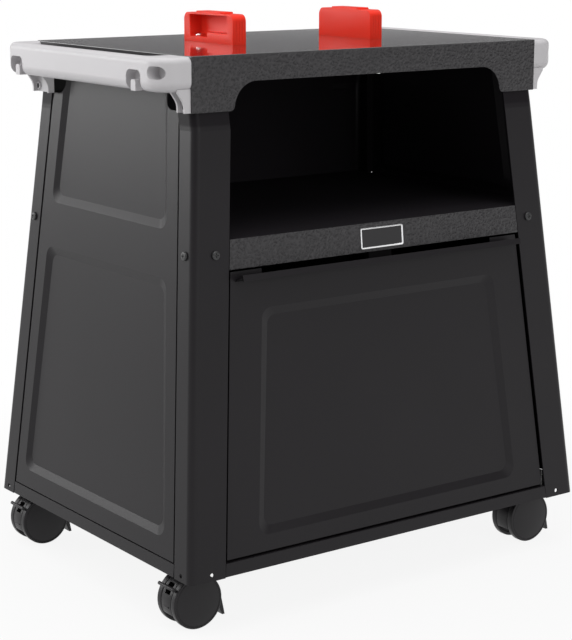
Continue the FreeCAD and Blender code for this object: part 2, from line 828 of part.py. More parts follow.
back = new_body("back_panel", *back_plane())
back_level = -c.leg_sheet
back_low = fold_high + c.rail_to_panel
back_high = skirt_low - c.running_gap
notch_height = joggle_low - c.back_notch_drop
back_inset = c.leg_corner_round + c.running_gap
wide_low = half_length_at(back_low) - back_inset
wide_high = half_length_at(notch_height) - back_inset
narrow_low = leg_edge_at(notch_height) - c.running_gap
narrow_high = leg_edge_at(back_high) - c.running_gap
back_drawing = new_sketch(back, "face", (0, 0, back_level))
draw_outline(back_drawing, [
    (-wide_low, up_front(back_low)),
    (wide_low, up_front(back_low)),
    (wide_high, up_front(notch_height)),
    (narrow_low, up_front(notch_height)),
    (narrow_high, up_front(back_high)),
    (-narrow_high, up_front(back_high)),
    (-narrow_low, up_front(notch_height)),
    (-wide_high, up_front(notch_height)),
])
add_pad(back, back_drawing, c.panel_sheet, backward=True)
back_holes = new_sketch(back, "screw_holes")
for side in (-1, 1):
    draw_circle(back_holes, side * leg_screw_front_half, up_front(leg_screw_height),
                c.screw_shank_diameter + c.running_gap)
add_pocket(back, back_holes, c.leg_sheet * 8, middle=True)
nodes.append(back)


# Middle shelf: flat floor with flanges folded down at the sides and the back

shelf = new_body("middle_shelf", (0, 0, c.crossbar_high))
shelf_low = c.crossbar_high - c.shelf_flange
shelf_side_inset = c.leg_sheet * rise_side
shelf_back_inset = (c.leg_sheet + c.panel_sheet) * rise_front
shelf_front_inset = (c.leg_sheet * 2) * rise_front
floor_drawing = new_sketch(shelf, "floor")
floor_half = half_length_at(c.crossbar_high) - shelf_side_inset
floor_front = shelf_front_inset - half_depth_at(c.crossbar_high)
floor_back = half_depth_at(c.crossbar_high) - shelf_back_inset
clip = c.leg_corner_round
draw_outline(floor_drawing, [
    (clip - floor_half, floor_front), (floor_half - clip, floor_front),
    (floor_half, floor_front + clip), (floor_half, floor_back - clip),
    (floor_half - clip, floor_back), (clip - floor_half, floor_back),
    (-floor_half, floor_back - clip), (-floor_half, floor_front + clip),
])
add_pad(shelf, floor_drawing, c.panel_sheet, backward=True)
for side in (-1, 1):
    place, turn = side_plane(side, c.leg_sheet)
    place = (place[0], place[1], place[2] - c.crossbar_high)
    flange = new_sketch(shelf, "side_flange_%d" % (side + 1), place, turn)
    front_end = -floor_front - clip
    back_end = floor_back - clip
    draw_outline(flange, rectangle(
        -front_end if side > 0 else -back_end, back_end if side > 0 else front_end,
        up_side(shelf_low), up_side(c.crossbar_high) - c.panel_sheet / 2))
    add_pad(shelf, flange, c.panel_sheet, backward=True)
    holes = new_sketch(shelf, "side_holes_%d" % (side + 1), place, turn)
    for end in (-1, 1):
        draw_circle(holes, end * leg_screw_side_half, up_side(leg_screw_height),
                    c.screw_shank_diameter + c.running_gap)
    add_pocket(shelf, holes, c.leg_sheet * 4, middle=True)
place, turn = back_plane(c.leg_sheet + c.panel_sheet)
place = (place[0], place[1], place[2] - c.crossbar_high)
rear_flange = new_sketch(shelf, "rear_flange", place, turn)
draw_outline(rear_flange, rectangle(
    clip - floor_half, floor_half - clip,
    up_front(shelf_low), up_front(c.crossbar_high) - c.panel_sheet / 2))
add_pad(shelf, rear_flange, c.panel_sheet, backward=True)
rear_holes = new_sketch(shelf, "rear_holes", place, turn)
for side in (-1, 1):
    draw_circle(rear_holes, side * leg_screw_front_half, up_front(leg_screw_height),
                c.screw_shank_diameter + c.running_gap)
add_pocket(shelf, rear_holes, c.leg_sheet * 4, middle=True)
nodes.append(shelf)


# Bottom panel: floor reaching into the leg corners, with a fold down on each side

bottom = new_body("bottom_panel", (0, 0, fold_high))
bottom_drawing = new_sketch(bottom, "floor", (0, 0, -c.panel_sheet))
low_level = fold_high - c.panel_sheet
full_x = half_length_at(low_level) - c.panel_sheet
full_y = half_depth_at(low_level) - c.panel_sheet
inner_x = half_length_at(fold_high) - c.leg_sheet - c.running_gap
inner_y = half_depth_at(fold_high) - c.leg_sheet - c.running_gap
edge_x = leg_edge_at(fold_high) - c.crossbar_end_gap
edge_y = leg_side_edge_at(fold_high) - c.crossbar_end_gap
draw_outline(bottom_drawing, [
    (-edge_x, -full_y), (edge_x, -full_y), (edge_x, -inner_y), (inner_x - clip, -inner_y),
    (inner_x, clip - inner_y), (inner_x, -edge_y), (full_x, -edge_y), (full_x, edge_y),
    (inner_x, edge_y), (inner_x, inner_y - clip), (inner_x - clip, inner_y), (edge_x, inner_y),
    (edge_x, full_y), (-edge_x, full_y), (-edge_x, inner_y), (clip - inner_x, inner_y),
    (-inner_x, inner_y - clip), (-inner_x, edge_y), (-full_x, edge_y), (-full_x, -edge_y),
    (-inner_x, -edge_y), (-inner_x, clip - inner_y), (clip - inner_x, -inner_y),
    (-edge_x, -inner_y),
])
add_pad(bottom, bottom_drawing, c.panel_sheet)
folds = (("front", front_plane(), edge_x, up_front), ("back", back_plane(), edge_x, up_front),
         ("left", side_plane(-1), edge_y, up_side), ("right", side_plane(1), edge_y, up_side))
for fold, (place, turn), reach, climb in folds:
    place = (place[0], place[1], place[2] - fold_high)
    drawing = new_sketch(bottom, fold + "_fold", place, turn)
    draw_outline(drawing, rectangle(-reach, reach, climb(fold_low), climb(fold_high)))
    add_pad(bottom, drawing, c.leg_sheet, backward=True)
nodes.append(bottom)


# Storage door: bent sheet with side returns, hinge bosses, recessed field and pull lip

door = new_body("door_panel", *front_plane(c.door_recess))
door_face = new_sketch(door, "face")

slot_height = door_high - c.door_slot_depth
slot_half = leg_edge_at(door_high) - c.door_slot_end
draw_outline(door_face, [
    (-door_edge_at(door_low), up_front(door_low)),
    (door_edge_at(door_low), up_front(door_low)),
    (door_edge_at(door_high), up_front(door_high)),
    (slot_half, up_front(door_high)),
    (slot_half, up_front(slot_height)),
    (-slot_half, up_front(slot_height)),
    (-slot_half, up_front(door_high)),
    (-door_edge_at(door_high), up_front(door_high)),
])
add_pad(door, door_face, c.panel_sheet, backward=True)
hinge_up = up_front(hinge_height)
return_high = door_high - c.door_return_drop
for side in (-1, 1):
    side_return = new_sketch(door, "return_%d" % (side + 1))
    draw_outline(side_return, [
        (side * door_edge_at(door_low), up_front(door_low)),
        (side * door_edge_at(return_high), up_front(return_high)),
        (side * (door_edge_at(return_high) - c.panel_sheet), up_front(return_high)),
        (side * (door_edge_at(door_low) - c.panel_sheet), up_front(door_low))])
    add_pad(door, side_return, c.door_return, backward=True)
round_edges(door, c.door_return_low_round, lambda edge: (
    edge.Length < 3 and abs(middle_of(edge).z + c.door_return.value) < 0.01
    and middle_of(edge).y < up_front(door_low).value + 1))
boss_outer = door_edge_at(hinge_height) - c.panel_sheet / 2
for side in (-1, 1):
    boss = new_sketch(door, "boss_%d" % (side + 1), (side * boss_outer, 0, 0), (90, 0, 90))
    draw_circle(boss, hinge_up, -c.hinge_inset, c.hinge_boss_diameter)
    add_pad(door, boss, c.hinge_boss_length, backward=side > 0)
    bore = new_sketch(door, "bore_%d" % (side + 1), (side * boss_outer, 0, 0), (90, 0, 90))
    draw_circle(bore, hinge_up, -c.hinge_inset, c.hinge_pin_diameter + c.hinge_pin_clearance * 2)
    add_pocket(door, bore, c.hinge_boss_length * 3, middle=True)
lip = new_sketch(door, "lip", (0, 0, 0), (90, 0, 90))
lip_height = door_high - c.lip_drop
lip_up = up_front(lip_height)
draw_outline(lip, [
    (lip_up, -c.panel_sheet),
    (lip_up + c.lip_rise, c.lip_reach),
    (lip_up + c.lip_rise - c.lip_hem, c.lip_reach + c.panel_sheet),
    (lip_up + c.lip_rise - c.lip_hem, c.lip_reach),
    (lip_up + c.lip_rise - c.panel_sheet * 2, c.lip_reach - c.panel_sheet),
    (lip_up - c.panel_sheet * 1.5, -c.panel_sheet),
])
add_pad(door, lip, (leg_edge_at(lip_height) - c.lip_end_inset) * 2, middle=True)
field_low = door_low + c.door_emboss_low_margin
field_high = door_high - c.door_emboss_top_margin
field_wide = door_edge_at(field_low) - c.door_emboss_side_margin
field_narrow = door_edge_at(field_high) - c.door_emboss_side_margin
add_emboss(door, "field", [
    (-field_wide, up_front(field_low)), (field_wide, up_front(field_low)),
    (field_narrow, up_front(field_high)), (-field_narrow, up_front(field_high))],
    as_size(0), c.panel_sheet)
nodes.append(door)


# Hinge brackets: a plate beside each lower door corner, its foot on the floor, and its pin

hinge_back = (c.door_recess + c.hinge_inset) / rise_front
hinge_drop = (c.door_recess + c.hinge_inset) * lean_depth / rise_front
hinge_y = hinge_back - half_depth_at(hinge_height)
hinge_z = hinge_height - hinge_drop
bracket_face = door_edge_at(door_low) + c.bracket_gap
for name, side in (("hinge_bracket_left", -1), ("hinge_bracket_right", 1)):
    bracket = new_body(name, (side * bracket_face, hinge_y, hinge_z))
    foot = fold_high - hinge_z
    plate = new_sketch(bracket, "plate", (0, 0, 0), (90, 0, 90))
    pin_half = c.hinge_pin_diameter
    draw_outline(plate, [
        (-pin_half, foot), (c.bracket_depth - pin_half, foot),
        (c.bracket_depth - pin_half, foot + c.bracket_sheet * 2),
        (pin_half, pin_half * 1.5, c.hinge_pin_diameter / 2), (-pin_half, pin_half * 1.5)])
    add_pad(bracket, plate, c.bracket_sheet, backward=side < 0)
    shoe = new_sketch(bracket, "foot", (0, 0, foot))
    draw_outline(shoe, [
        (0, -pin_half), (side * c.bracket_foot, -pin_half),
        (side * c.bracket_foot, c.bracket_depth - pin_half), (0, c.bracket_depth - pin_half)])
    add_pad(bracket, shoe, c.bracket_sheet)
    pin = new_sketch(bracket, "pin", (0, 0, 0), (90, 0, 90))
    draw_circle(pin, 0, 0, c.hinge_pin_diameter)
    pin_reach = bracket_face - (boss_outer - c.hinge_boss_length) + c.running_gap * 4
    add_pad(bracket, pin, pin_reach, backward=side > 0)
    nodes.append(bracket)


# Magnetic catch under the crossbar's return, its face against the door

catch = new_body("door_catch", *front_plane(c.door_recess + c.panel_sheet))
catch_drawing = new_sketch(catch, "outline")
draw_outline(catch_drawing, rectangle(
    -c.catch_length / 2, c.catch_length / 2, up_front(crossbar_low - c.catch_height), bar_low))
add_pad(catch, catch_drawing, c.catch_depth, backward=True)
nodes.append(catch)


# Side rails: a rounded bar held out by two legs, with hook notches, a recess near the front
# corner, and two fixing tabs with a fin at each end and a boss for the screw

def make_side_rail(name, side):
    body = new_body(name, (side * half_cover, -half_depth, c.cart_height))
    outer = c.rail_hand_gap + c.rail_bar
    back_end = c.cover_depth + c.rail_rear_reach
    thickness = c.rail_drop - c.rail_top_inset
    plan = new_sketch(body, "plan", (0, 0, -c.rail_top_inset))
    outline = [
        (0, 0), (outer, 0, c.rail_front_round), (outer, back_end, c.rail_rear_round),
        (-c.rail_rear_wrap, back_end), (-c.rail_rear_wrap, c.cover_depth + c.running_gap),
        (0, c.cover_depth + c.running_gap), (0, back_end - c.rail_rear_leg),
        (c.rail_hand_gap, back_end - c.rail_rear_leg, c.rail_inner_round),
        (c.rail_hand_gap, c.rail_front_leg, c.rail_edge_round), (0, c.rail_front_leg)]
    draw_outline(plan, [(side * p[0],) + tuple(p[1:]) for p in outline])
    add_pad(body, plan, thickness, backward=True)
    top_level, low_level = -c.rail_top_inset.value, -c.rail_drop.value
    inner_reach = (c.rail_hand_gap + c.overlap).value
    inner_start = (c.rail_front_leg - c.overlap).value
    inner_end = (back_end - c.rail_rear_leg + c.overlap).value

    def on_rim(edge, level, inner):
        spot = middle_of(edge)
        if abs(spot.z - level) > 0.01 or side * spot.x < 0.5 or edge.Length < 3:
            return False
        return inner == (side * spot.x < inner_reach and inner_start < spot.y < inner_end)
    round_edges(body, c.rail_low_round, lambda edge: on_rim(edge, low_level, False))
    round_edges(body, c.rail_top_round, lambda edge: on_rim(edge, top_level, False))
    round_edges(body, c.rail_edge_round, lambda edge: (
        on_rim(edge, low_level, True) or on_rim(edge, top_level, True)))
    hooks = (
        ("front", c.hook_front_start, c.hook_front_height, c.peg_front_offset),
        ("rear", c.cover_depth - c.hook_rear_inset - c.hook_width, c.hook_rear_height,
         c.peg_rear_offset))
    for hook, start, height, offset in hooks:
        end = start + c.hook_width
        notch = new_sketch(body, hook + "_notch", (side * outer, 0, 0), (90, 0, 90))
        draw_outline(notch, [
            (start, -c.rail_drop - c.overlap), (end, -c.rail_drop - c.overlap),
            (end, height - c.rail_drop, c.hook_round), (start, height - c.rail_drop, c.hook_round)])
        add_pocket(body, notch, c.rail_bar * 0.7, backward=side < 0)
        peg = new_sketch(body, hook + "_peg", (side * (outer - c.overlap), 0, 0), (90, 0, 90))
        peg_middle = start + offset
        draw_outline(peg, [
            (peg_middle - c.peg_width / 2, -c.rail_drop),
            (peg_middle + c.peg_width / 2, -c.rail_drop),
            (peg_middle + c.peg_width / 2, c.peg_height - c.rail_drop, c.peg_width / 3),
            (peg_middle - c.peg_width / 2, c.peg_height - c.rail_drop, c.peg_width / 3)])
        add_pad(body, peg, c.rail_bar * 0.7, backward=side > 0)
    dimple = new_sketch(body, "dimple", (side * outer, 0, 0), (90, 0, 90))
    draw_outline(dimple, rectangle(
        c.dimple_inset - c.dimple_length / 2, c.dimple_inset + c.dimple_length / 2,
        -c.dimple_drop - c.dimple_height / 2, -c.dimple_drop + c.dimple_height / 2,
        c.dimple_height * 0.48))
    add_pocket(body, dimple, c.dimple_depth, backward=side < 0)
    web_top = c.tab_web - c.rail_drop
    low = -c.rail_drop - c.tab_drop
    tabs = (("front", c.tab_front_start, c.tab_front_start + c.tab_front_length, tab_front_hole),
            ("rear", c.cover_depth - c.tab_rear_length, c.cover_depth, tab_rear_hole))
    web = new_sketch(body, "web", (0, 0, -c.rail_drop))
    web_start = c.cover_depth - c.tab_rear_length
    draw_outline(web, [
        (0, web_start), (side * (c.rail_hand_gap + c.rail_edge_round), web_start),
        (side * (c.rail_hand_gap + c.rail_edge_round), c.cover_depth), (0, c.cover_depth)])
    add_pad(body, web, c.tab_web)
    for tab, start, end, screw in tabs:
        plate = new_sketch(body, tab + "_tab", (0, 0, 0), (90, 0, 90))
        draw_outline(plate, [
            (start, web_top), (start, low, c.tab_thickness / 2), (end, low, c.tab_thickness / 2),
            (end, web_top)])
        add_pad(body, plate, c.tab_thickness, backward=side < 0)
        for fin, fin_end in (("front", start + c.fin_thickness), ("rear", end)):
            profile = [(0, web_top), (c.fin_reach_top, web_top), (c.fin_reach_top, -c.rail_drop),
                       (c.fin_reach_low, -c.rail_drop - c.fin_curve_drop, c.fin_round),
                       (c.fin_reach_low, low), (0, low)]
            drawing = new_sketch(body, tab + "_" + fin + "_fin", (0, fin_end, 0), (0, 0, 90))
            draw_outline(drawing, [(side * p[0],) + tuple(p[1:]) for p in profile])
            add_pad(body, drawing, c.fin_thickness)
        level = tab_hole_height - c.cart_height
        boss = new_sketch(body, tab + "_boss", (0, 0, 0), (90, 0, 90))
        draw_circle(boss, screw, level, c.tab_boss_diameter)
        add_pad(body, boss, c.tab_boss_height, backward=side < 0)
        seat = new_sketch(body, tab + "_seat", (side * c.tab_boss_height, 0, 0), (90, 0, 90))
        draw_circle(seat, screw, level, c.rail_screw_head_diameter + c.running_gap * 2)
        add_pocket(body, seat, c.tab_seat_depth, backward=side < 0)
        hole = new_sketch(body, tab + "_hole", (0, 0, 0), (90, 0, 90))
        draw_circle(hole, screw, level, c.screw_shank_diameter + c.running_gap)
        add_pocket(body, hole, c.tab_boss_height * 3, middle=True)
    nodes.append(body)


make_side_rail("side_rail_left", -1)
make_side_rail("side_rail_right", 1)


# Red guides: blocks standing in the cover's cut-outs on a plate under the sheet

def make_guide(name, side):
    body = new_body(name, (side * c.guide_middle, c.guide_offset, leg_top))
    half = c.guide_width / 2
    reach = c.guide_length / 2
    high = c.guide_height + c.panel_sheet
    profile = new_sketch(body, "profile", (0, 0, 0), (90, 0, 90))
    draw_outline(profile, [
        (-reach, 0), (reach, 0), (reach, high, c.guide_round), (-reach, high, c.guide_round)])
    add_pad(body, profile, c.guide_width, middle=True)
    cap = new_sketch(body, "cap", (0, 0, 0), (90, 0, 90))
    cap_start = c.guide_cap_inset - reach
    cap_end = reach - c.guide_cap_inset
    draw_outline(cap, [
        (cap_start, high - c.guide_wall), (cap_end, high - c.guide_wall),
        (cap_end, high + c.guide_cap_rise, c.guide_cap_round),
        (cap_start, high + c.guide_cap_rise, c.guide_cap_round)])
    add_pad(body, cap, c.guide_width - c.overlap * 2, middle=True)
    window = new_sketch(body, "window", (side * half, 0, 0), (90, 0, 90))
    sill = c.guide_window_height + c.panel_sheet
    draw_outline(window, [
        (c.guide_window_end - reach, sill), (reach - c.guide_window_end, sill),
        (reach - c.guide_window_end, high - c.guide_wall),
        (c.guide_window_end - reach, high - c.guide_wall)])
    add_pocket(body, window, c.guide_width - c.guide_wall, backward=side < 0)
    screw_along = reach - c.guide_screw_inset
    seat = new_sketch(body, "screw_seat", (0, 0, sill))
    draw_circle(seat, 0, screw_along, c.guide_seat_diameter)
    add_pocket(body, seat, c.guide_seat_depth)
    hole = new_sketch(body, "screw_hole")
    draw_circle(hole, 0, screw_along, c.screw_shank_diameter + c.running_gap)
    add_pocket(body, hole, sill * 2, middle=True)
    nodes.append(body)
    plate = new_body(name + "_plate", (side * c.guide_middle, c.guide_offset, leg_top))
    plate_drawing = new_sketch(plate, "outline")
    plate_half = half + c.guide_plate_side_margin
    plate_reach = reach + c.guide_plate_end_margin
    draw_outline(plate_drawing, rectangle(
        -plate_half, plate_half, -plate_reach, plate_reach, c.guide_round / 2))
    add_pad(plate, plate_drawing, c.guide_plate_sheet, backward=True)
    plate_hole = new_sketch(plate, "screw_hole")
    draw_circle(plate_hole, 0, screw_along, c.screw_shank_diameter)
    add_pocket(plate, plate_hole, c.guide_plate_sheet * 4, middle=True)
    nodes.append(plate)


make_guide("grill_guide_left", -1)
make_guide("grill_guide_right", 1)


# Screws: pan heads outside, shanks through the holes of what they join

def add_screw(body, number, place, turn, shank_length,
              head_diameter=c.screw_head_diameter, head_height=c.screw_head_height):
    shank = new_sketch(body, "shank_%d" % number, place, turn)
    draw_circle(shank, 0, 0, c.screw_shank_diameter)
    add_pad(body, shank, shank_length, backward=True)
    head = new_sketch(body, "head_%d" % number, place, turn)
    draw_circle(head, 0, 0, head_diameter)
    pad = add_pad(body, head, head_height)
    document.recompute()
    rim = [e for e in range(1, len(pad.Shape.Edges) + 1)
           if head_rim(pad.Shape.Edges[e - 1], head, head_diameter, head_height)]
    rounding = body.newObject("PartDesign::Fillet", body.Name + "_head_round_%d" % number)
    rounding.Base = (pad, ["Edge%d" % e for e in rim])
    rounding.setExpression("Radius", (head_height * 0.6).text)
    document.recompute()


def head_rim(edge, head, head_diameter, head_height):
    if not hasattr(edge.Curve, "Radius"):
        return False
    if abs(edge.Curve.Radius - head_diameter.value / 2) > 0.01:
        return False
    local = head.Placement.inverse().multVec(edge.Curve.Center)
    return abs(local.z - head_height.value) < 0.01 and abs(local.x) + abs(local.y) < 0.01


def on_plane(plane, x, up):
    """A spot on a leaning plane, given across and up, as place and turn."""
    place, turn = plane
    yaw = turn[0]
    across = {0: (1, 0), 180: (-1, 0), 90: (0, 1), -90: (0, -1)}[yaw]
    back = {0: (0, 1), 180: (0, -1), 90: (-1, 0), -90: (1, 0)}[yaw]
    lean = lean_depth if yaw in (0, 180) else lean_length
    rise = rise_front if yaw in (0, 180) else rise_side
    x, up = as_size(x), as_size(up)
    return (place[0] + across[0] * x + back[0] * up * lean / rise,
            place[1] + across[1] * x + back[1] * up * lean / rise,
            place[2] + up / rise), turn


for end_name, end in (("front", -1), ("rear", 1)):
    for side_name, side in (("left", -1), ("right", 1)):
        screws = new_body("leg_screws_%s_%s" % (end_name, side_name))
        screws.AllowCompound = True
        plane = front_plane() if end < 0 else back_plane()
        place, turn = on_plane(plane, -side * end * leg_screw_front_half,
                               up_front(leg_screw_height))
        add_screw(screws, 1, place, turn, c.screw_shank_length)
        place, turn = on_plane(side_plane(side), side * end * leg_screw_side_half,
                               up_side(leg_screw_height))
        add_screw(screws, 2, place, turn, c.screw_shank_length)
        nodes.append(screws)
for side_name, side in (("left", -1), ("right", 1)):
    screws = new_body("rail_screws_" + side_name, (side * half_cover, -half_depth, c.cart_height))
    screws.AllowCompound = True
    seat_level = c.tab_boss_height - c.tab_seat_depth
    for number, along in enumerate((tab_front_hole, tab_rear_hole)):
        add_screw(screws, number, (side * seat_level, along, tab_hole_height - c.cart_height),
                  (90 * side, 0, 90), seat_level + c.screw_shank_length / 2,
                  c.rail_screw_head_diameter, c.rail_screw_head_height)
    nodes.append(screws)
    guide_screw = new_body("guide_screw_" + side_name, (side * c.guide_middle, c.guide_offset, leg_top))
    screw_along = c.guide_length / 2 - c.guide_screw_inset
    seat_top = c.panel_sheet + c.guide_window_height - c.guide_seat_depth
    add_screw(guide_screw, 1, (0, screw_along, seat_top), (0, 0, 0),
              seat_top + c.guide_plate_sheet * 2)
    nodes.append(guide_screw)


# Casters: plate and stem, swivelling hood, axle, two wheels and a brake lever on the left ones

wheel_radius = c.wheel_diameter / 2
hood_radius = wheel_radius - c.hood_inset
skirt_reach = wheel_radius + c.hood_skirt_overhang
lever_radius = hood_radius + c.lever_overhang
lever_pin_radius = hood_radius - c.lever_pin_inset
lever_length = c.hood_width + c.lever_end_overhang * 2
wheel_inner = c.hood_width / 2 + c.wheel_gap
wheel_outer = wheel_inner + c.wheel_width


def make_caster(name, side, end, braked):
    place = (side * stem_half_length, end * stem_half_depth, 0)
    mount = new_body(name + "_mount", place)
    plate = new_sketch(mount, "plate", (0, 0, mount_low))
    half = c.mount_plate_length / 2
    draw_outline(plate, rectangle(-half, half, -half, half, c.leg_corner_round / 2))
    add_pad(mount, plate, c.mount_plate_sheet)
    collar = new_sketch(mount, "collar", (0, 0, mount_low))
    draw_circle(collar, 0, 0, c.mount_collar_diameter)
    add_pad(mount, collar, c.mount_collar_height, backward=True)
    stem = new_sketch(mount, "stem", (0, 0, mount_low))
    draw_circle(stem, 0, 0, c.stem_diameter)
    add_pad(mount, stem, c.stem_length, backward=True)
    nodes.append(mount)

    hood = new_body(name + "_hood", place)
    across = (0, 0, 90)
    disc = new_sketch(hood, "disc", (0, 0, wheel_radius), across)
    draw_circle(disc, -c.caster_trail, 0, hood_radius * 2)
    add_pad(hood, disc, c.hood_width, middle=True)
    skirt = new_sketch(hood, "skirt", (0, 0, wheel_radius), across)
    low = c.hood_skirt_low - wheel_radius
    reach = skirt_reach - c.caster_trail
    neck_front = c.neck_diameter / 2
    draw_outline(skirt, [
        (-c.caster_trail, 0), (-c.caster_trail, hood_radius * 0.9),
        (neck_front, hood_radius * 0.9, c.hood_cheek_radius / 3),
        (reach - c.hood_skirt_foot * 1.6, 0, c.hood_cheek_radius),
        (reach, low), (reach - c.hood_skirt_foot, low), (hood_radius * 0.68, low / 3)])
    add_pad(hood, skirt, c.hood_width, middle=True)
    neck = new_sketch(hood, "neck", (0, 0, neck_height))
    draw_circle(neck, 0, 0, c.neck_diameter)
    add_pad(hood, neck, neck_height - wheel_radius, backward=True)
    foot = new_sketch(hood, "open_foot", (0, 0, 0), across)
    draw_outline(foot, rectangle(
        -c.caster_trail - hood_radius - c.overlap, hood_radius * 0.62,
        -wheel_radius, c.hood_open_height))
    add_pocket(hood, foot, c.hood_width * 2, middle=True)
    bore = new_sketch(hood, "stem_bore", (0, 0, neck_height))
    draw_circle(bore, 0, 0, c.stem_diameter + c.stem_clearance * 2)
    add_pocket(hood, bore, neck_height - mount_low + c.stem_length + c.running_gap)
    axle_bore = new_sketch(hood, "axle_bore", (0, 0, wheel_radius), across)
    draw_circle(axle_bore, -c.caster_trail, 0, c.axle_diameter + c.axle_clearance * 2)
    add_pocket(hood, axle_bore, c.hood_width * 2, middle=True)
    if braked:
        pin_x = -c.caster_trail - lever_pin_radius * cosine(c.lever_angle)
        pin_z = wheel_radius + lever_pin_radius * sine(c.lever_angle)
        tilted = (0, 180 + c.lever_angle, 0)
        slot = new_sketch(hood, "lever_slot", (pin_x, 0, pin_z), (0, 0, 0))
        slot.setExpression("AttachmentOffset", placement_text((pin_x, 0, pin_z), tilted))
        half_slot = c.lever_thickness * 1.15
        draw_outline(slot, rectangle(-half_slot, lever_radius - lever_pin_radius,
                                     -half_slot, half_slot))
        add_pocket(hood, slot, c.lever_thickness * 3.4, middle=True)
        nub = new_sketch(hood, "nub", (0, 0, wheel_radius), across)
        edge = -c.caster_trail - hood_radius
        nub_tip = c.caster_trail - skirt_reach
        draw_outline(nub, [
            (edge + c.overlap * 2, 0), (nub_tip, -c.lever_thickness),
            (edge + c.overlap * 2, -c.lever_thickness * 1.6)])
        add_pad(hood, nub, c.hood_width / 2, middle=True)
        pin = new_sketch(hood, "lever_pin", (pin_x, 0, pin_z), across)
        draw_circle(pin, 0, 0, c.lever_pin_diameter)
        add_pad(hood, pin, c.hood_width - c.overlap * 2, middle=True)
    nodes.append(hood)

    centre = (side * stem_half_length - c.caster_trail, end * stem_half_depth, wheel_radius)
    axle = new_body(name + "_axle", centre)
    rod = new_sketch(axle, "rod", (0, 0, 0), across)
    draw_circle(rod, 0, 0, c.axle_diameter)
    cap_inside = wheel_outer + c.wheel_dome - c.wheel_cap
    add_pad(axle, rod, (cap_inside - c.running_gap) * 2, middle=True)
    nodes.append(axle)
    for wheel_name, hand in (("front", -1), ("rear", 1)):
        wheel = new_body("%s_wheel_%s" % (name, wheel_name), centre)
        profile = new_sketch(wheel, "profile")
        hub = c.axle_diameter / 2
        draw_outline(profile, [
            (hub, hand * wheel_inner),
            (wheel_radius, hand * wheel_inner, c.wheel_edge_round),
            (wheel_radius, hand * wheel_outer, c.wheel_edge_round),
            (wheel_radius - c.wheel_edge_round * 2, hand * (wheel_outer + c.wheel_dome / 4)),
            (hub * 2, hand * (wheel_outer + c.wheel_dome)),
            (0, hand * (wheel_outer + c.wheel_dome)),
            (0, hand * cap_inside), (hub, hand * cap_inside)])
        add_turned(wheel, profile, "turned")
        nodes.append(wheel)
    if braked:
        lever = new_body(name + "_brake_lever", (side * stem_half_length + pin_x,
                                                 end * stem_half_depth, pin_z), tilted)
        hub_drawing = new_sketch(lever, "hub", (0, 0, 0), (0, 0, 90))
        draw_circle(hub_drawing, 0, 0, c.lever_thickness * 1.7)
        add_pad(lever, hub_drawing, c.lever_thickness * 2.2, middle=True)
        tongue = new_sketch(lever, "tongue", (0, 0, 0), (0, 0, 90))
        arm = lever_radius - lever_pin_radius
        half = c.lever_thickness / 2
        draw_outline(tongue, rectangle(as_size(0), arm, -half, half))
        add_pad(lever, tongue, c.lever_thickness * 2.2, middle=True)
        bar = new_sketch(lever, "bar", (0, 0, 0), (0, 0, 90))
        draw_circle(bar, arm, 0, c.lever_thickness)
        add_pad(lever, bar, lever_length, middle=True)
        lever_bore = new_sketch(lever, "bore", (0, 0, 0), (0, 0, 90))
        draw_circle(lever_bore, 0, 0, c.lever_pin_diameter + c.axle_clearance * 2)
        add_pocket(lever, lever_bore, c.lever_thickness * 5, middle=True)
        nodes.append(lever)


make_caster("caster_front_left", -1, -1, True)
make_caster("caster_front_right", 1, -1, False)
make_caster("caster_rear_left", -1, 1, True)
make_caster("caster_rear_right", 1, 1, False)


# Check every object before anything is written

document.recompute()
for item in document.Objects:
    if "Invalid" in item.State or "Error" in item.State:
        raise RuntimeError("%s failed: %s" % (item.Name, item.State))
for body in nodes:
    shape = body.Shape
    if shape.isNull() or not shape.isValid() or shape.Volume <= 0:
        raise RuntimeError("bad shape: " + body.Label)
    wanted = 2 if body.Label.startswith(("leg_screws", "rail_screws")) else 1
    if len(shape.Solids) != wanted:
        raise RuntimeError("%s has %d solids" % (body.Label, len(shape.Solids)))
for body in nodes:
    body.Shape.exportStep("parts/%s.step" % body.Label)
print("pieces:", len(nodes))
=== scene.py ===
import math

import bpy
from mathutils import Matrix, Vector


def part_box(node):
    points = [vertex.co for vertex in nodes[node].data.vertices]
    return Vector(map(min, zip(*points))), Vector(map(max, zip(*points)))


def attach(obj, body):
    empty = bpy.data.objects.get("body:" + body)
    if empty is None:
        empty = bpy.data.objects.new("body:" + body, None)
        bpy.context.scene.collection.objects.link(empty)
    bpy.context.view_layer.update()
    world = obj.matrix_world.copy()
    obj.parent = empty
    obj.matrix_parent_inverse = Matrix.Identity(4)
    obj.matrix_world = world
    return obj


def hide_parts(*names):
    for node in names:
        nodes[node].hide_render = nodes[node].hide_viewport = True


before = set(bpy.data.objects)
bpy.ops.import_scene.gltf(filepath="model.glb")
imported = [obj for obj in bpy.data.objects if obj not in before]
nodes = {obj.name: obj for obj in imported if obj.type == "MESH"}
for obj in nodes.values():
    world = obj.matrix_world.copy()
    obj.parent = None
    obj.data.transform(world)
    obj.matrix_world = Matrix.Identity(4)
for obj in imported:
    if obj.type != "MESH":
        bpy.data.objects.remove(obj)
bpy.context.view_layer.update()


# The camera stands where the photograph was taken from: left of the front,
# a little above the cart's top, looking down on it with a long lens.

camera_place = (-1.5348, -2.1026, 0.91055)
camera_tilt = math.radians(77.58)
camera_turn = math.radians(-35.70)

bpy.ops.object.camera_add(location=camera_place, rotation=(camera_tilt, 0, camera_turn))
camera = bpy.context.object
camera.name = "photo_camera"
camera.data.lens = 101.0
camera.data.sensor_width = 36
camera.data.shift_x = 0.0198
camera.data.shift_y = 0.001
camera.data.clip_end = 50
bpy.context.scene.camera = camera
bpy.context.scene.view_settings.view_transform = "Standard"


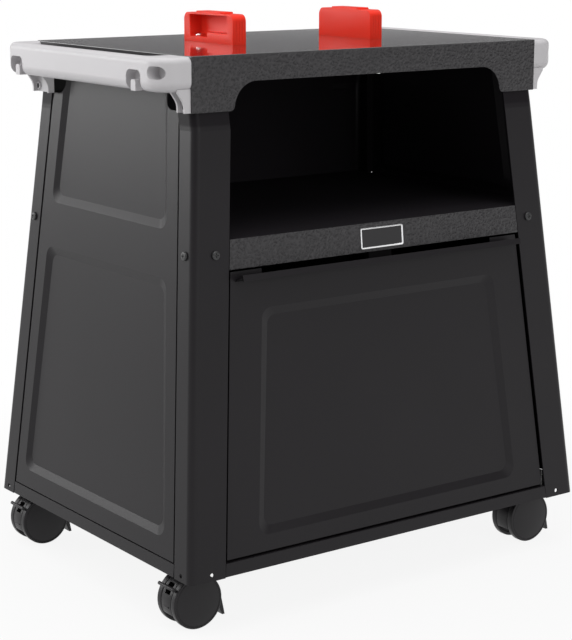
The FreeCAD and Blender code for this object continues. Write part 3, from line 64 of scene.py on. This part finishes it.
# A plain white studio: the surround and the floor are seen white by the eye,
# the glossy paint and the clear plastic, and the floor keeps a faint shadow.

white = (1, 1, 1, 1)
floor_grey = (0.65, 0.65, 0.65, 1)
surround_light = 0.5
floor_size = 24
shade_reach = 0.45
shade_end = 1.1
white_in_shade = 0.89


def new_tree(material):
    material.use_nodes = True
    tree = material.node_tree
    tree.nodes.clear()
    return tree


def add_node(tree, kind, inputs=(), **traits):
    node = tree.nodes.new("ShaderNode" + kind)
    for trait, value in traits.items():
        setattr(node, trait, value)
    for name, value in dict(inputs).items():
        if isinstance(value, bpy.types.NodeSocket):
            tree.links.new(value, node.inputs[name])
        else:
            node.inputs[name].default_value = value
    return node


def seen_rays(tree):
    rays = add_node(tree, "LightPath").outputs
    seen = rays["Is Camera Ray"]
    for ray in ("Is Glossy Ray", "Is Transmission Ray"):
        either = add_node(tree, "Math", {0: seen, 1: rays[ray]}, operation="MAXIMUM")
        seen = either.outputs[0]
    return seen


world = bpy.data.worlds.new("studio_surround")
bpy.context.scene.world = world
tree = new_tree(world)
lit = add_node(tree, "Background", {"Color": white, "Strength": surround_light})
seen = add_node(tree, "Background", {"Color": white, "Strength": 1.0})
surround = add_node(tree, "MixShader", {"Fac": seen_rays(tree), 1: lit.outputs[0],
                                        2: seen.outputs[0]})
add_node(tree, "OutputWorld", {"Surface": surround.outputs[0]})

bpy.ops.mesh.primitive_plane_add(size=floor_size, location=(0, 0, 0))
floor = bpy.context.object
floor.name = "studio_floor"
floor_paint = bpy.data.materials.new("studio_floor_white")
tree = new_tree(floor_paint)
place = add_node(tree, "TexCoord").outputs["Object"]
reach = add_node(tree, "VectorMath", {0: place}, operation="LENGTH")
fade = add_node(tree, "MapRange", {"Value": reach.outputs["Value"], "From Min": shade_reach,
                                   "From Max": shade_end, "To Min": white_in_shade,
                                   "To Max": 1.0}, interpolation_type="SMOOTHSTEP")
shown = add_node(tree, "Math", {0: seen_rays(tree), 1: fade.outputs["Result"]},
                 operation="MULTIPLY")
lit = add_node(tree, "BsdfDiffuse", {"Color": floor_grey})
seen = add_node(tree, "Emission", {"Color": white, "Strength": 1.0})
surface = add_node(tree, "MixShader", {"Fac": shown.outputs[0], 1: lit.outputs[0],
                                       2: seen.outputs[0]})
add_node(tree, "OutputMaterial", {"Surface": surface.outputs[0]})
floor.data.materials.append(floor_paint)


# A grey flag hangs round the studio behind the lamps. The camera and the matt
# paint don't see it: only the glossy top mirrors its even grey.

flag_radius = 3.4
flag_height = 1.7
flag_middle = 1.75
flag_grey = (0.155, 0.152, 0.156, 1)

bpy.ops.mesh.primitive_cylinder_add(vertices=64, radius=flag_radius, depth=flag_height,
                                    end_fill_type="NOTHING", location=(0, 0, flag_middle))
flag = bpy.context.object
flag.name = "grey_flag"
flag_cloth = bpy.data.materials.new("grey_flag_cloth")
tree = new_tree(flag_cloth)
glow = add_node(tree, "Emission", {"Color": flag_grey, "Strength": 1.0})
add_node(tree, "OutputMaterial", {"Surface": glow.outputs[0]})
flag.data.materials.append(flag_cloth)
flag.visible_camera = False
flag.visible_diffuse = False
flag.visible_transmission = False
flag.visible_shadow = False
flag.visible_volume_scatter = False


# Four softboxes: a broad one overhead, a close one at the upper left that
# makes the left side paler towards its top, one behind left, one in front.

def add_softbox(name, place, target, width, height, power):
    bpy.ops.object.light_add(type="AREA", location=place)
    lamp = bpy.context.object
    lamp.name = name
    lamp.rotation_euler = (Vector(target) - Vector(place)).to_track_quat("-Z", "Y").to_euler()
    lamp.data.shape = "RECTANGLE"
    lamp.data.size = width
    lamp.data.size_y = height
    lamp.data.energy = power


add_softbox("top_softbox", place=(-0.2, -0.4, 3.0), target=(0, 0, 0.5),
            width=2.6, height=2.6, power=42)
add_softbox("left_softbox", place=(-1.7, 0.2, 1.75), target=(-0.3, 0, 0.6),
            width=1.2, height=1.2, power=10)
add_softbox("rear_left_softbox", place=(-1.9, 2.1, 1.10), target=(-0.3, 0, 0.65),
            width=1.7, height=1.0, power=27)
add_softbox("front_softbox", place=(0.2, -3.4, 1.7), target=(0, 0, 0.5),
            width=2.0, height=1.6, power=28)


# The side panels and the door are folded sheet steel, powder coated a dark
# neutral grey with a satin face and a fine orange peel.

coat_grey = (0.0095, 0.0082, 0.0098)
coat_sheen = 0.22
orange_peel = {"grain": 420, "depth": 0.00003, "drift": 0.07, "edge": 0.0005}
cloud_scale = 7
gloss_swing = 0.12


def paint(name, colour, roughness, grain, depth, drift, sheen, edge):
    # a peel of that grain and depth, a colour that drifts, and edges worn round
    material = bpy.data.materials.new(name)
    tree = new_tree(material)
    place = add_node(tree, "TexCoord").outputs["Object"]
    peel = add_node(tree, "TexNoise", {"Vector": place, "Scale": grain, "Detail": 3})
    worn = add_node(tree, "Bevel", {"Radius": edge}, samples=4)
    bump = add_node(tree, "Bump", {"Strength": 1.0, "Distance": depth,
                                   "Height": peel.outputs["Fac"],
                                   "Normal": worn.outputs["Normal"]})
    cloud = add_node(tree, "TexNoise", {"Vector": place, "Scale": cloud_scale, "Detail": 4})
    tone = add_node(tree, "ValToRGB", {"Fac": cloud.outputs["Fac"]})
    for stop, position, share in zip(tone.color_ramp.elements, (0.3, 0.7),
                                     (1 - drift, 1 + drift)):
        stop.position = position
        stop.color = (*[min(1, channel * share) for channel in colour], 1)
    gloss = add_node(tree, "MapRange", {"Value": peel.outputs["Fac"],
                                        "To Min": roughness * (1 - gloss_swing),
                                        "To Max": roughness * (1 + gloss_swing)})
    shader = add_node(tree, "BsdfPrincipled", {"Base Color": tone.outputs["Color"],
                                               "Roughness": gloss.outputs["Result"],
                                               "Specular IOR Level": sheen,
                                               "Normal": bump.outputs["Normal"]})
    add_node(tree, "OutputMaterial", {"Surface": shader.outputs[0]})
    return material


def finish(material, *names):
    for name in names:
        slots = nodes[name].data.materials
        for number in range(len(slots)):
            slots[number] = material


satin_paint = paint("satin_dark_grey_paint", coat_grey, roughness=0.38, sheen=coat_sheen,
                    **orange_peel)
finish(satin_paint, "side_panel_left", "side_panel_right", "door_panel")


# The four corner legs are bent from sheet with the same satin coat. Round their
# tops, under the cover and the rails, the sheen is lowered as painted shade.

shade_band_start = 0.659
shade_band_full = 0.663
shaded_band_sheen = 0.10


def shader_of(material):
    return material.node_tree.nodes["Principled BSDF"]


leg_paint = paint("satin_leg_paint_shaded_tops", coat_grey, roughness=0.38, sheen=coat_sheen,
                  **orange_peel)
tree = leg_paint.node_tree
place = add_node(tree, "TexCoord").outputs["Object"]
level = add_node(tree, "SeparateXYZ", {0: place})
# painted shade: above the band's start the sheen falls to the lower one
painted_shade_band = add_node(tree, "MapRange", {"Value": level.outputs["Z"], "From Min": shade_band_start,
                                     "From Max": shade_band_full, "To Min": coat_sheen,
                                     "To Max": shaded_band_sheen}, interpolation_type="SMOOTHSTEP")
tree.links.new(painted_shade_band.outputs["Result"], shader_of(leg_paint).inputs["Specular IOR Level"])
finish(leg_paint, "leg_front_left", "leg_front_right", "leg_rear_left", "leg_rear_right")


# The middle shelf is a folded sheet tray between the legs. Inside the cabinet
# the coat is given a matt copy with little sheen, as painted shade.

shaded_inside_grey = (0.0105, 0.0090, 0.0110)

# painted shade: the same coat made matt and with little sheen for the unlit inside
shaded_inside_paint = paint("matt_inside_paint", shaded_inside_grey, roughness=0.62, sheen=0.12,
                     **orange_peel)
finish(shaded_inside_paint, "middle_shelf")


# The bottom and the back are folded sheets that close the cabinet. Their ends
# are trimmed to the slope of the legs' edges, so that little light shows there.

fold_end = 0.2865
fold_front = -0.2600
fold_low = 0.0775
bottom_trim = 0.0023
back_end = 0.23575
back_top = 0.6770
back_trim = 0.0018
nearby = 0.0007


def work_copy(name, node):
    bpy.ops.object.select_all(action="DESELECT")
    piece = bpy.data.objects.new(name, nodes[node].data.copy())
    bpy.context.scene.collection.objects.link(piece)
    piece.data.name = name
    bpy.context.view_layer.objects.active = piece
    piece.select_set(True)
    bpy.ops.mesh.customdata_custom_splitnormals_clear()
    bpy.ops.object.mode_set(mode="EDIT")
    bpy.ops.mesh.select_all(action="SELECT")
    bpy.ops.mesh.remove_doubles(threshold=0.00002)
    bpy.ops.mesh.dissolve_limited(angle_limit=math.radians(1))
    bpy.ops.mesh.normals_make_consistent(inside=False)
    bpy.ops.object.mode_set(mode="OBJECT")
    return piece


def pick_points(piece, rule):
    bpy.ops.object.mode_set(mode="EDIT")
    bpy.ops.mesh.select_mode(type="VERT")
    bpy.ops.mesh.select_all(action="DESELECT")
    bpy.ops.object.mode_set(mode="OBJECT")
    for vertex in piece.data.vertices:
        vertex.select = rule(vertex.co)
    bpy.ops.object.mode_set(mode="EDIT")


def trim_ends(piece, rule, shift):
    for side in (-1, 1):
        pick_points(piece, lambda co: rule(co) and co.x * side > 0)
        bpy.ops.transform.translate(value=(side * shift, 0, 0))
        bpy.ops.object.mode_set(mode="OBJECT")


def smooth(piece, angle):
    bpy.ops.object.mode_set(mode="OBJECT")
    bpy.ops.object.select_all(action="DESELECT")
    piece.select_set(True)
    bpy.context.view_layer.objects.active = piece
    bpy.ops.object.shade_smooth_by_angle(angle=math.radians(angle))


def give_material(piece, material):
    piece.data.materials.clear()
    piece.data.materials.append(material)


bottom = work_copy("bottom", "bottom_panel")
trim_ends(bottom, lambda co: abs(abs(co.x) - fold_end) < nearby and co.y < fold_front
          and co.z < fold_low, bottom_trim)
give_material(bottom, satin_paint)
smooth(bottom, angle=30)
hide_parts("bottom_panel")
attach(bottom, "cart")

back = work_copy("back", "back_panel")
trim_ends(back, lambda co: abs(abs(co.x) - back_end) < nearby and co.z > back_top, back_trim)
# the back takes the same matt copy, as painted shade inside the cabinet
give_material(back, shaded_inside_paint)
smooth(back, angle=30)
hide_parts("back_panel")
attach(back, "cart")


# The top cover is one drawn sheet with skirts, painted smoother and glossier
# than the cabinet so that it can be wiped clean.

top_grey = (0.026, 0.0250, 0.0265)

gloss_paint = paint("smooth_top_paint", top_grey, roughness=0.10, grain=160,
                    depth=0.000002, drift=0.05, sheen=0.3, edge=0.0002)
coat = shader_of(gloss_paint).inputs
coat["Coat Weight"].default_value = 1.0
coat["Coat Roughness"].default_value = 0.06
coat["Coat IOR"].default_value = 1.45
finish(gloss_paint, "top_cover")


# Fascia and crossbar carry a hammered paint: a net of shallow dimples a few
# millimetres across, with painted shade in the hollows and a painted highlight on their rims.

hammered_grey = (0.024, 0.0230, 0.0245)
painted_shade_hollow_grey = (0.0090, 0.0080, 0.0095, 1)
painted_highlight_rim_grey = (0.030, 0.0280, 0.0305, 1)
dimple_scale = 270
dimple_depth = 0.0010
dimple_stray = (0.008, 0.008, 0.005)

hammered = paint("hammered_dark_paint", hammered_grey, roughness=0.36, grain=520,
                 depth=0.00004, drift=0.10, sheen=0.45, edge=0.0005)
tree = hammered.node_tree
place = add_node(tree, "TexCoord").outputs["Object"]
wander = add_node(tree, "TexNoise", {"Vector": place, "Scale": 120, "Detail": 2})
stray = add_node(tree, "VectorMath", {0: wander.outputs["Color"], 1: dimple_stray, 2: place},
                 operation="MULTIPLY_ADD")
dimples = add_node(tree, "TexVoronoi", {"Vector": stray.outputs[0], "Scale": dimple_scale,
                                        "Smoothness": 0.6}, feature="SMOOTH_F1")
hammer = add_node(tree, "Bump", {"Strength": 1.0, "Distance": dimple_depth,
                                 "Height": dimples.outputs["Distance"],
                                 "Normal": tree.nodes["Bump"].outputs["Normal"]})
# painted shade darkens each dimple's hollow, a painted highlight pales its rim
dimple_shade_and_highlight = add_node(tree, "ValToRGB", {"Fac": dimples.outputs["Distance"]})
for stop, position, colour in zip(dimple_shade_and_highlight.color_ramp.elements, (0.20, 0.75),
                                  (painted_shade_hollow_grey, painted_highlight_rim_grey)):
    stop.position = position
    stop.color = colour
tree.links.new(hammer.outputs["Normal"], shader_of(hammered).inputs["Normal"])
tree.links.new(dimple_shade_and_highlight.outputs["Color"], shader_of(hammered).inputs["Base Color"])
finish(hammered, "front_fascia", "front_crossbar")


# The badge is a die-cast plate glued to the crossbar: a raised bright rim
# round a sunk dark field, which stays bare.

badge_length = 0.0740
badge_height = 0.0285
badge_thickness = 0.0020
badge_corner = 0.0027
badge_edge = 0.0003
rim_width = 0.0015
rim_slope = 0.0005
field_depth = 0.0006
front_lean = math.radians(5.745)
silver = (0.86, 0.86, 0.87)
field_grey = (0.014, 0.013, 0.0145)


def start_piece(name):
    piece = bpy.context.object
    piece.name = name
    piece.data.name = name
    return piece


def settle():
    bpy.ops.object.transform_apply(location=True, rotation=True, scale=True)


def pick(piece, mode, rule):
    bpy.ops.object.mode_set(mode="EDIT")
    bpy.ops.mesh.select_mode(type=mode)
    bpy.ops.mesh.select_all(action="DESELECT")
    bpy.ops.object.mode_set(mode="OBJECT")
    if mode == "FACE":
        for face in piece.data.polygons:
            face.select = rule(face)
    else:
        for edge in piece.data.edges:
            edge.select = rule(*[piece.data.vertices[number].co for number in edge.vertices])
    bpy.ops.object.mode_set(mode="EDIT")


def middle_of(node):
    low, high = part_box(node)
    return (low + high) / 2


badge_silver = paint("bright_badge_rim", silver, roughness=0.22, grain=700,
                     depth=0.00001, drift=0.05, sheen=0.5, edge=0.0003)
shader_of(badge_silver).inputs["Metallic"].default_value = 1.0
badge_field = paint("dark_badge_field", field_grey, roughness=0.40, grain=1500,
                    depth=0.00003, drift=0.08, sheen=0.4, edge=0.0002)

bpy.ops.object.select_all(action="DESELECT")
bpy.ops.mesh.primitive_cube_add(size=1, scale=(badge_length, badge_thickness, badge_height))
badge = start_piece("badge")
settle()
badge.data.materials.append(badge_silver)
badge.data.materials.append(badge_field)
badge_face = -badge_thickness * 0.45
pick(badge, "EDGE", lambda a, b: abs(a.y - b.y) > badge_thickness / 2)
bpy.ops.mesh.bevel(offset=badge_corner, segments=5, affect="EDGES")
pick(badge, "EDGE", lambda a, b: a.y < badge_face and b.y < badge_face)
bpy.ops.mesh.bevel(offset=badge_edge, segments=3, affect="EDGES")
pick(badge, "FACE", lambda face: face.normal.y < -0.99)
bpy.ops.mesh.inset(thickness=rim_width, depth=0)
bpy.ops.mesh.inset(thickness=rim_slope, depth=-field_depth)
badge.active_material_index = 1
bpy.ops.object.material_slot_assign()
smooth(badge, angle=35)
badge.rotation_euler = (-front_lean, 0, 0)
badge.location = middle_of("badge_plate")
settle()
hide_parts("badge_plate")
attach(badge, "cart")


# The two side rails are moulded in light grey plastic with a fine matt grain,
# and each is screwed to the cover's skirt through two tabs.

rail_grey = (0.505, 0.492, 0.505)

rail_plastic = paint("light_grey_rail_plastic", rail_grey, roughness=0.42, grain=900,
                     depth=0.00004, drift=0.02, sheen=0.4, edge=0.0009)
finish(rail_plastic, "side_rail_left", "side_rail_right")


# The two guides are moulded in a clear red plastic: softly rounded edges, three
# fine grooves down the front end, and the screw's seat open to the outside.

guide_red = (0.90, 0.040, 0.020)
guide_edge = 0.0007
groove_size = (0.0007, 0.0012, 0.0330)
groove_level = 0.7700
groove_steps = (-0.0046, -0.0004, 0.0044)
seat_size = (0.0190, 0.0430, 0.0084)
seat_outward = 0.0027
seat_along = 0.0310
seat_level = 0.7622


def round_edges(piece, width, angle):
    soft = piece.modifiers.new("rounded", "BEVEL")
    soft.width = width
    soft.segments = 3
    soft.limit_method = "ANGLE"
    soft.angle_limit = math.radians(angle)
    bpy.context.view_layer.objects.active = piece
    bpy.ops.object.modifier_apply(modifier=soft.name)
    smooth(piece, angle=40)


def cut_box(piece, size, place, turn=0):
    bpy.ops.object.select_all(action="DESELECT")
    bpy.ops.mesh.primitive_cube_add(size=1, scale=size, location=place, rotation=(0, 0, turn))
    settle()
    cutter = bpy.context.object
    cut = piece.modifiers.new("cut", "BOOLEAN")
    cut.operation = "DIFFERENCE"
    cut.solver = "EXACT"
    cut.object = cutter
    bpy.context.view_layer.objects.active = piece
    bpy.ops.object.modifier_apply(modifier=cut.name)
    bpy.data.objects.remove(cutter)


red_plastic = paint("clear_red_plastic", guide_red, roughness=0.30, grain=200,
                    depth=0.00001, drift=0.04, sheen=0.05, edge=0.0006)
clear = shader_of(red_plastic).inputs
clear["Transmission Weight"].default_value = 0.15
clear["Subsurface Weight"].default_value = 0.35
clear["Subsurface Radius"].default_value = (0.02, 0.004, 0.003)
clear["Subsurface Scale"].default_value = 0.5

for side, across in (("left", -1), ("right", 1)):
    low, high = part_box("grill_guide_" + side)
    middle = middle_of("grill_guide_" + side)
    guide = work_copy("guide_" + side, "grill_guide_" + side)
    round_edges(guide, guide_edge, angle=50)
    for step in groove_steps:
        cut_box(guide, groove_size, (middle.x + step, low.y, groove_level))
    cut_box(guide, seat_size, (middle.x + across * seat_outward, seat_along, seat_level))
    smooth(guide, angle=40)
    give_material(guide, red_plastic)
    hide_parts("grill_guide_" + side)
    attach(guide, "cart")


# The pan-head screws are turned once and set where they hold: blackened ones
# in the legs and rails, bright zinc ones in the guides, each with a cross recess.

head_radius = 0.0060
head_height = 0.0032
shank_radius = 0.0024
leg_shank = 0.0075
leg_screw_level = 0.497
leg_front_screw = (0.27334, 0.21985)
leg_side_screw = (0.30744, 0.20085)
side_lean = math.radians(5.046)
rail_head_radius = 0.00375
rail_head_height = 0.0016
rail_shank_radius = 0.0019
rail_shank = 0.0075
rail_tab_face = 0.2983
rail_screw_places = (-0.1895, 0.1930)
rail_screw_level = 0.6865
guide_shank = 0.0130
guide_seat_floor = 0.758
guide_screw_turn = 0.6
black_finish = (0.020, 0.020, 0.021)
zinc_bright = (0.78, 0.78, 0.76)


def push_out(distance):
    bpy.ops.mesh.extrude_region_move(TRANSFORM_OT_translate={"value": (0, 0, distance)})


def turn_screw(name, radius, height, shank_radius, shank_length, material):
    crown = height * 0.55
    under_edge = height * 0.08
    under_radius = radius * 0.92
    point = shank_length * 0.15
    recess = (radius * 1.05, radius * 0.22, height * 0.9)
    bpy.ops.object.select_all(action="DESELECT")
    bpy.ops.mesh.primitive_cylinder_add(vertices=48, radius=radius, depth=height,
                                        location=(0, 0, height / 2))
    screw = start_piece(name)
    settle()
    pick(screw, "EDGE", lambda a, b: a.z > height * 0.9 and b.z > height * 0.9)
    bpy.ops.mesh.bevel(offset=crown, segments=5, affect="EDGES")
    pick(screw, "EDGE", lambda a, b: a.z < height * 0.1 and b.z < height * 0.1)
    bpy.ops.mesh.bevel(offset=under_edge, segments=2, affect="EDGES")
    pick(screw, "FACE", lambda face: face.normal.z < -0.9)
    bpy.ops.mesh.inset(thickness=under_radius - shank_radius, depth=0)
    push_out(point - shank_length)
    bpy.ops.mesh.inset(thickness=shank_radius * 0.35, depth=0)
    push_out(-point)
    bpy.ops.object.mode_set(mode="OBJECT")
    for turn in (0, 90):
        cut_box(screw, recess, (0, 0, height), math.radians(turn))
    screw.data.materials.append(material)
    smooth(screw, angle=35)
    return screw


def set_copy(master, name, place, turn):
    bpy.ops.object.select_all(action="DESELECT")
    master.select_set(True)
    bpy.context.view_layer.objects.active = master
    bpy.ops.object.duplicate(linked=False)
    piece = start_piece(name)
    piece.rotation_euler = turn
    piece.location = place
    settle()
    return piece


def join(pieces, name):
    bpy.ops.object.select_all(action="DESELECT")
    for piece in pieces:
        piece.select_set(True)
    bpy.context.view_layer.objects.active = pieces[0]
    bpy.ops.object.join()
    return start_piece(name)


def facing(normal):
    return Vector(normal).to_track_quat("Z", "Y").to_euler()


black_screw = paint("black_screw_finish", black_finish, roughness=0.34, grain=900,
                    depth=0.00002, drift=0.10, sheen=0.5, edge=0.0002)
zinc_screw = paint("bright_zinc_screw", zinc_bright, roughness=0.22, grain=700,
                   depth=0.00001, drift=0.05, sheen=0.5, edge=0.0002)
shader_of(zinc_screw).inputs["Metallic"].default_value = 1.0

leg_screw = turn_screw("leg_screw", head_radius, head_height, shank_radius, leg_shank,
                       black_screw)
rail_screw = turn_screw("rail_screw", rail_head_radius, rail_head_height, rail_shank_radius,
                        rail_shank, black_screw)
guide_screw = turn_screw("guide_screw", head_radius, head_height, shank_radius, guide_shank,
                         zinc_screw)

for side, across in (("left", -1), ("right", 1)):
    for end, along in (("front", -1), ("rear", 1)):
        x, y = leg_front_screw
        in_front = set_copy(leg_screw, "screw", (across * x, along * y, leg_screw_level),
                            facing((0, along, math.tan(front_lean))))
        x, y = leg_side_screw
        in_side = set_copy(leg_screw, "screw", (across * x, along * y, leg_screw_level),
                           facing((across, 0, math.tan(side_lean))))
        pair = join([in_front, in_side], "screws_leg_" + end + "_" + side)
        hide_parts("leg_screws_" + end + "_" + side)
        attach(pair, "cart")
    screws = [set_copy(rail_screw, "screw", (across * rail_tab_face, y, rail_screw_level),
                       facing((across, 0, 0))) for y in rail_screw_places]
    pair = join(screws, "screws_rail_" + side)
    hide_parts("rail_screws_" + side)
    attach(pair, "cart")
    x, y, z = middle_of("guide_screw_" + side)
    screw = set_copy(guide_screw, "screw_guide_" + side, (x, y, guide_seat_floor),
                     (0, 0, guide_screw_turn))
    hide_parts("guide_screw_" + side)
    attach(screw, "cart")
for master in (leg_screw, rail_screw, guide_screw):
    bpy.data.objects.remove(master)


# The hinge brackets, the plates under the guides, and the casters' plates and
# axles are pressed or turned steel, plated with dull zinc.

zinc_dull = (0.45, 0.45, 0.44)

plated = paint("zinc_plated_steel", zinc_dull, roughness=0.34, grain=500,
               depth=0.00001, drift=0.06, sheen=0.5, edge=0.0003)
shader_of(plated).inputs["Metallic"].default_value = 1.0
finish(plated, "hinge_bracket_left", "hinge_bracket_right",
       "grill_guide_left_plate", "grill_guide_right_plate",
       *[name for name in nodes if name.endswith("_mount") or name.endswith("_axle")])


# The catch that holds the door shut is a block round its magnet, under the
# crossbar. It is painted near black and matt as painted shade, so it shows only as a dull
# dark patch.

catch_shade_black = (0.0040, 0.0036, 0.0041)

# painted shade: near black and matt, for the shade in the gap under the crossbar
catch_painted_shade = paint("matt_catch_plastic", catch_shade_black, roughness=0.60, grain=900,
                      depth=0.00005, drift=0.10, sheen=0.05, edge=0.0004)
finish(catch_painted_shade, "door_catch")


# The casters' wheels are moulded in black plastic with a rounded tread, a fine
# ring moulded inside the rim and a slightly crowned outer face.

wheel_radius = 0.0375
wheel_width = 0.0097
wheel_offset = 0.01665
tread_round = 0.0016
ring_inset = 0.0012
# in both lists a pair is one inset's width and how far it rises
ring_and_crown = ((0.0004, -0.0005), (0.0009, 0), (0.0004, 0.0005), (0.0060, 0.0009),
                  (0.0060, 0.00062), (0.0060, 0.00045), (0.0060, 0.00028), (0.0060, 0.00013))
hub_and_hollow = ((0.0030, 0), (0.0010, -0.0040), (0.0180, 0), (0.0006, 0.0040))
disc_area = 0.001
caster_black = (0.0110, 0.0098, 0.0113)

caster_plastic = paint("black_caster_plastic", caster_black, roughness=0.38, grain=900,
                       depth=0.00005, drift=0.10, sheen=0.28, edge=0.0004)

bpy.ops.object.select_all(action="DESELECT")
bpy.ops.mesh.primitive_cylinder_add(vertices=96, radius=wheel_radius, depth=wheel_width,
                                    location=(0, -wheel_offset, 0),
                                    rotation=(math.radians(90), 0, 0))
wheel = start_piece("wheel")
settle()
pick(wheel, "EDGE", lambda a, b: abs(a.y - b.y) < 1e-5)
bpy.ops.mesh.bevel(offset=tread_round, segments=4, affect="EDGES")
pick(wheel, "FACE", lambda face: face.normal.y < -0.99 and face.area > disc_area)
bpy.ops.mesh.inset(thickness=ring_inset, depth=0)
for thickness, depth in ring_and_crown:
    bpy.ops.mesh.inset(thickness=thickness, depth=depth)
pick(wheel, "FACE", lambda face: face.normal.y > 0.99 and face.area > disc_area)
for thickness, depth in hub_and_hollow:
    bpy.ops.mesh.inset(thickness=thickness, depth=depth)
wheel.data.materials.append(caster_plastic)
smooth(wheel, angle=40)
for caster in ("front_left", "front_right", "rear_left", "rear_right"):
    for end, turn in (("front", 0), ("rear", 180)):
        twin = set_copy(wheel, "wheel_" + caster + "_" + end,
                        middle_of("caster_" + caster + "_axle"), (0, 0, math.radians(turn)))
        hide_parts("caster_" + caster + "_wheel_" + end)
        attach(twin, "caster_" + caster + "_wheels")
bpy.data.objects.remove(wheel)


# Each caster's hood is a black moulding over the wheels, with its brake lever
# on the two left ones; every outer edge is rounded as it leaves the mould.

hood_edge = 0.0008
skirt_start = 0.025
skirt_share = 0.50

for caster in ("front_left", "front_right", "rear_left", "rear_right"):
    hood = work_copy("hood_" + caster, "caster_" + caster + "_hood")
    skirt = middle_of("caster_" + caster + "_mount").x + skirt_start
    pick_points(hood, lambda co: co.x > skirt)
    bpy.ops.transform.resize(value=(skirt_share, 1, 1), center_override=(skirt, 0, 0))
    bpy.ops.object.mode_set(mode="OBJECT")
    round_edges(hood, hood_edge, angle=50)
    give_material(hood, caster_plastic)
    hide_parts("caster_" + caster + "_hood")
    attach(hood, "caster_" + caster + "_swivel")
for caster in ("front_left", "rear_left"):
    lever = work_copy("lever_" + caster, "caster_" + caster + "_brake_lever")
    round_edges(lever, hood_edge, angle=50)
    give_material(lever, caster_plastic)
    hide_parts("caster_" + caster + "_brake_lever")
    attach(lever, "caster_" + caster + "_brake")
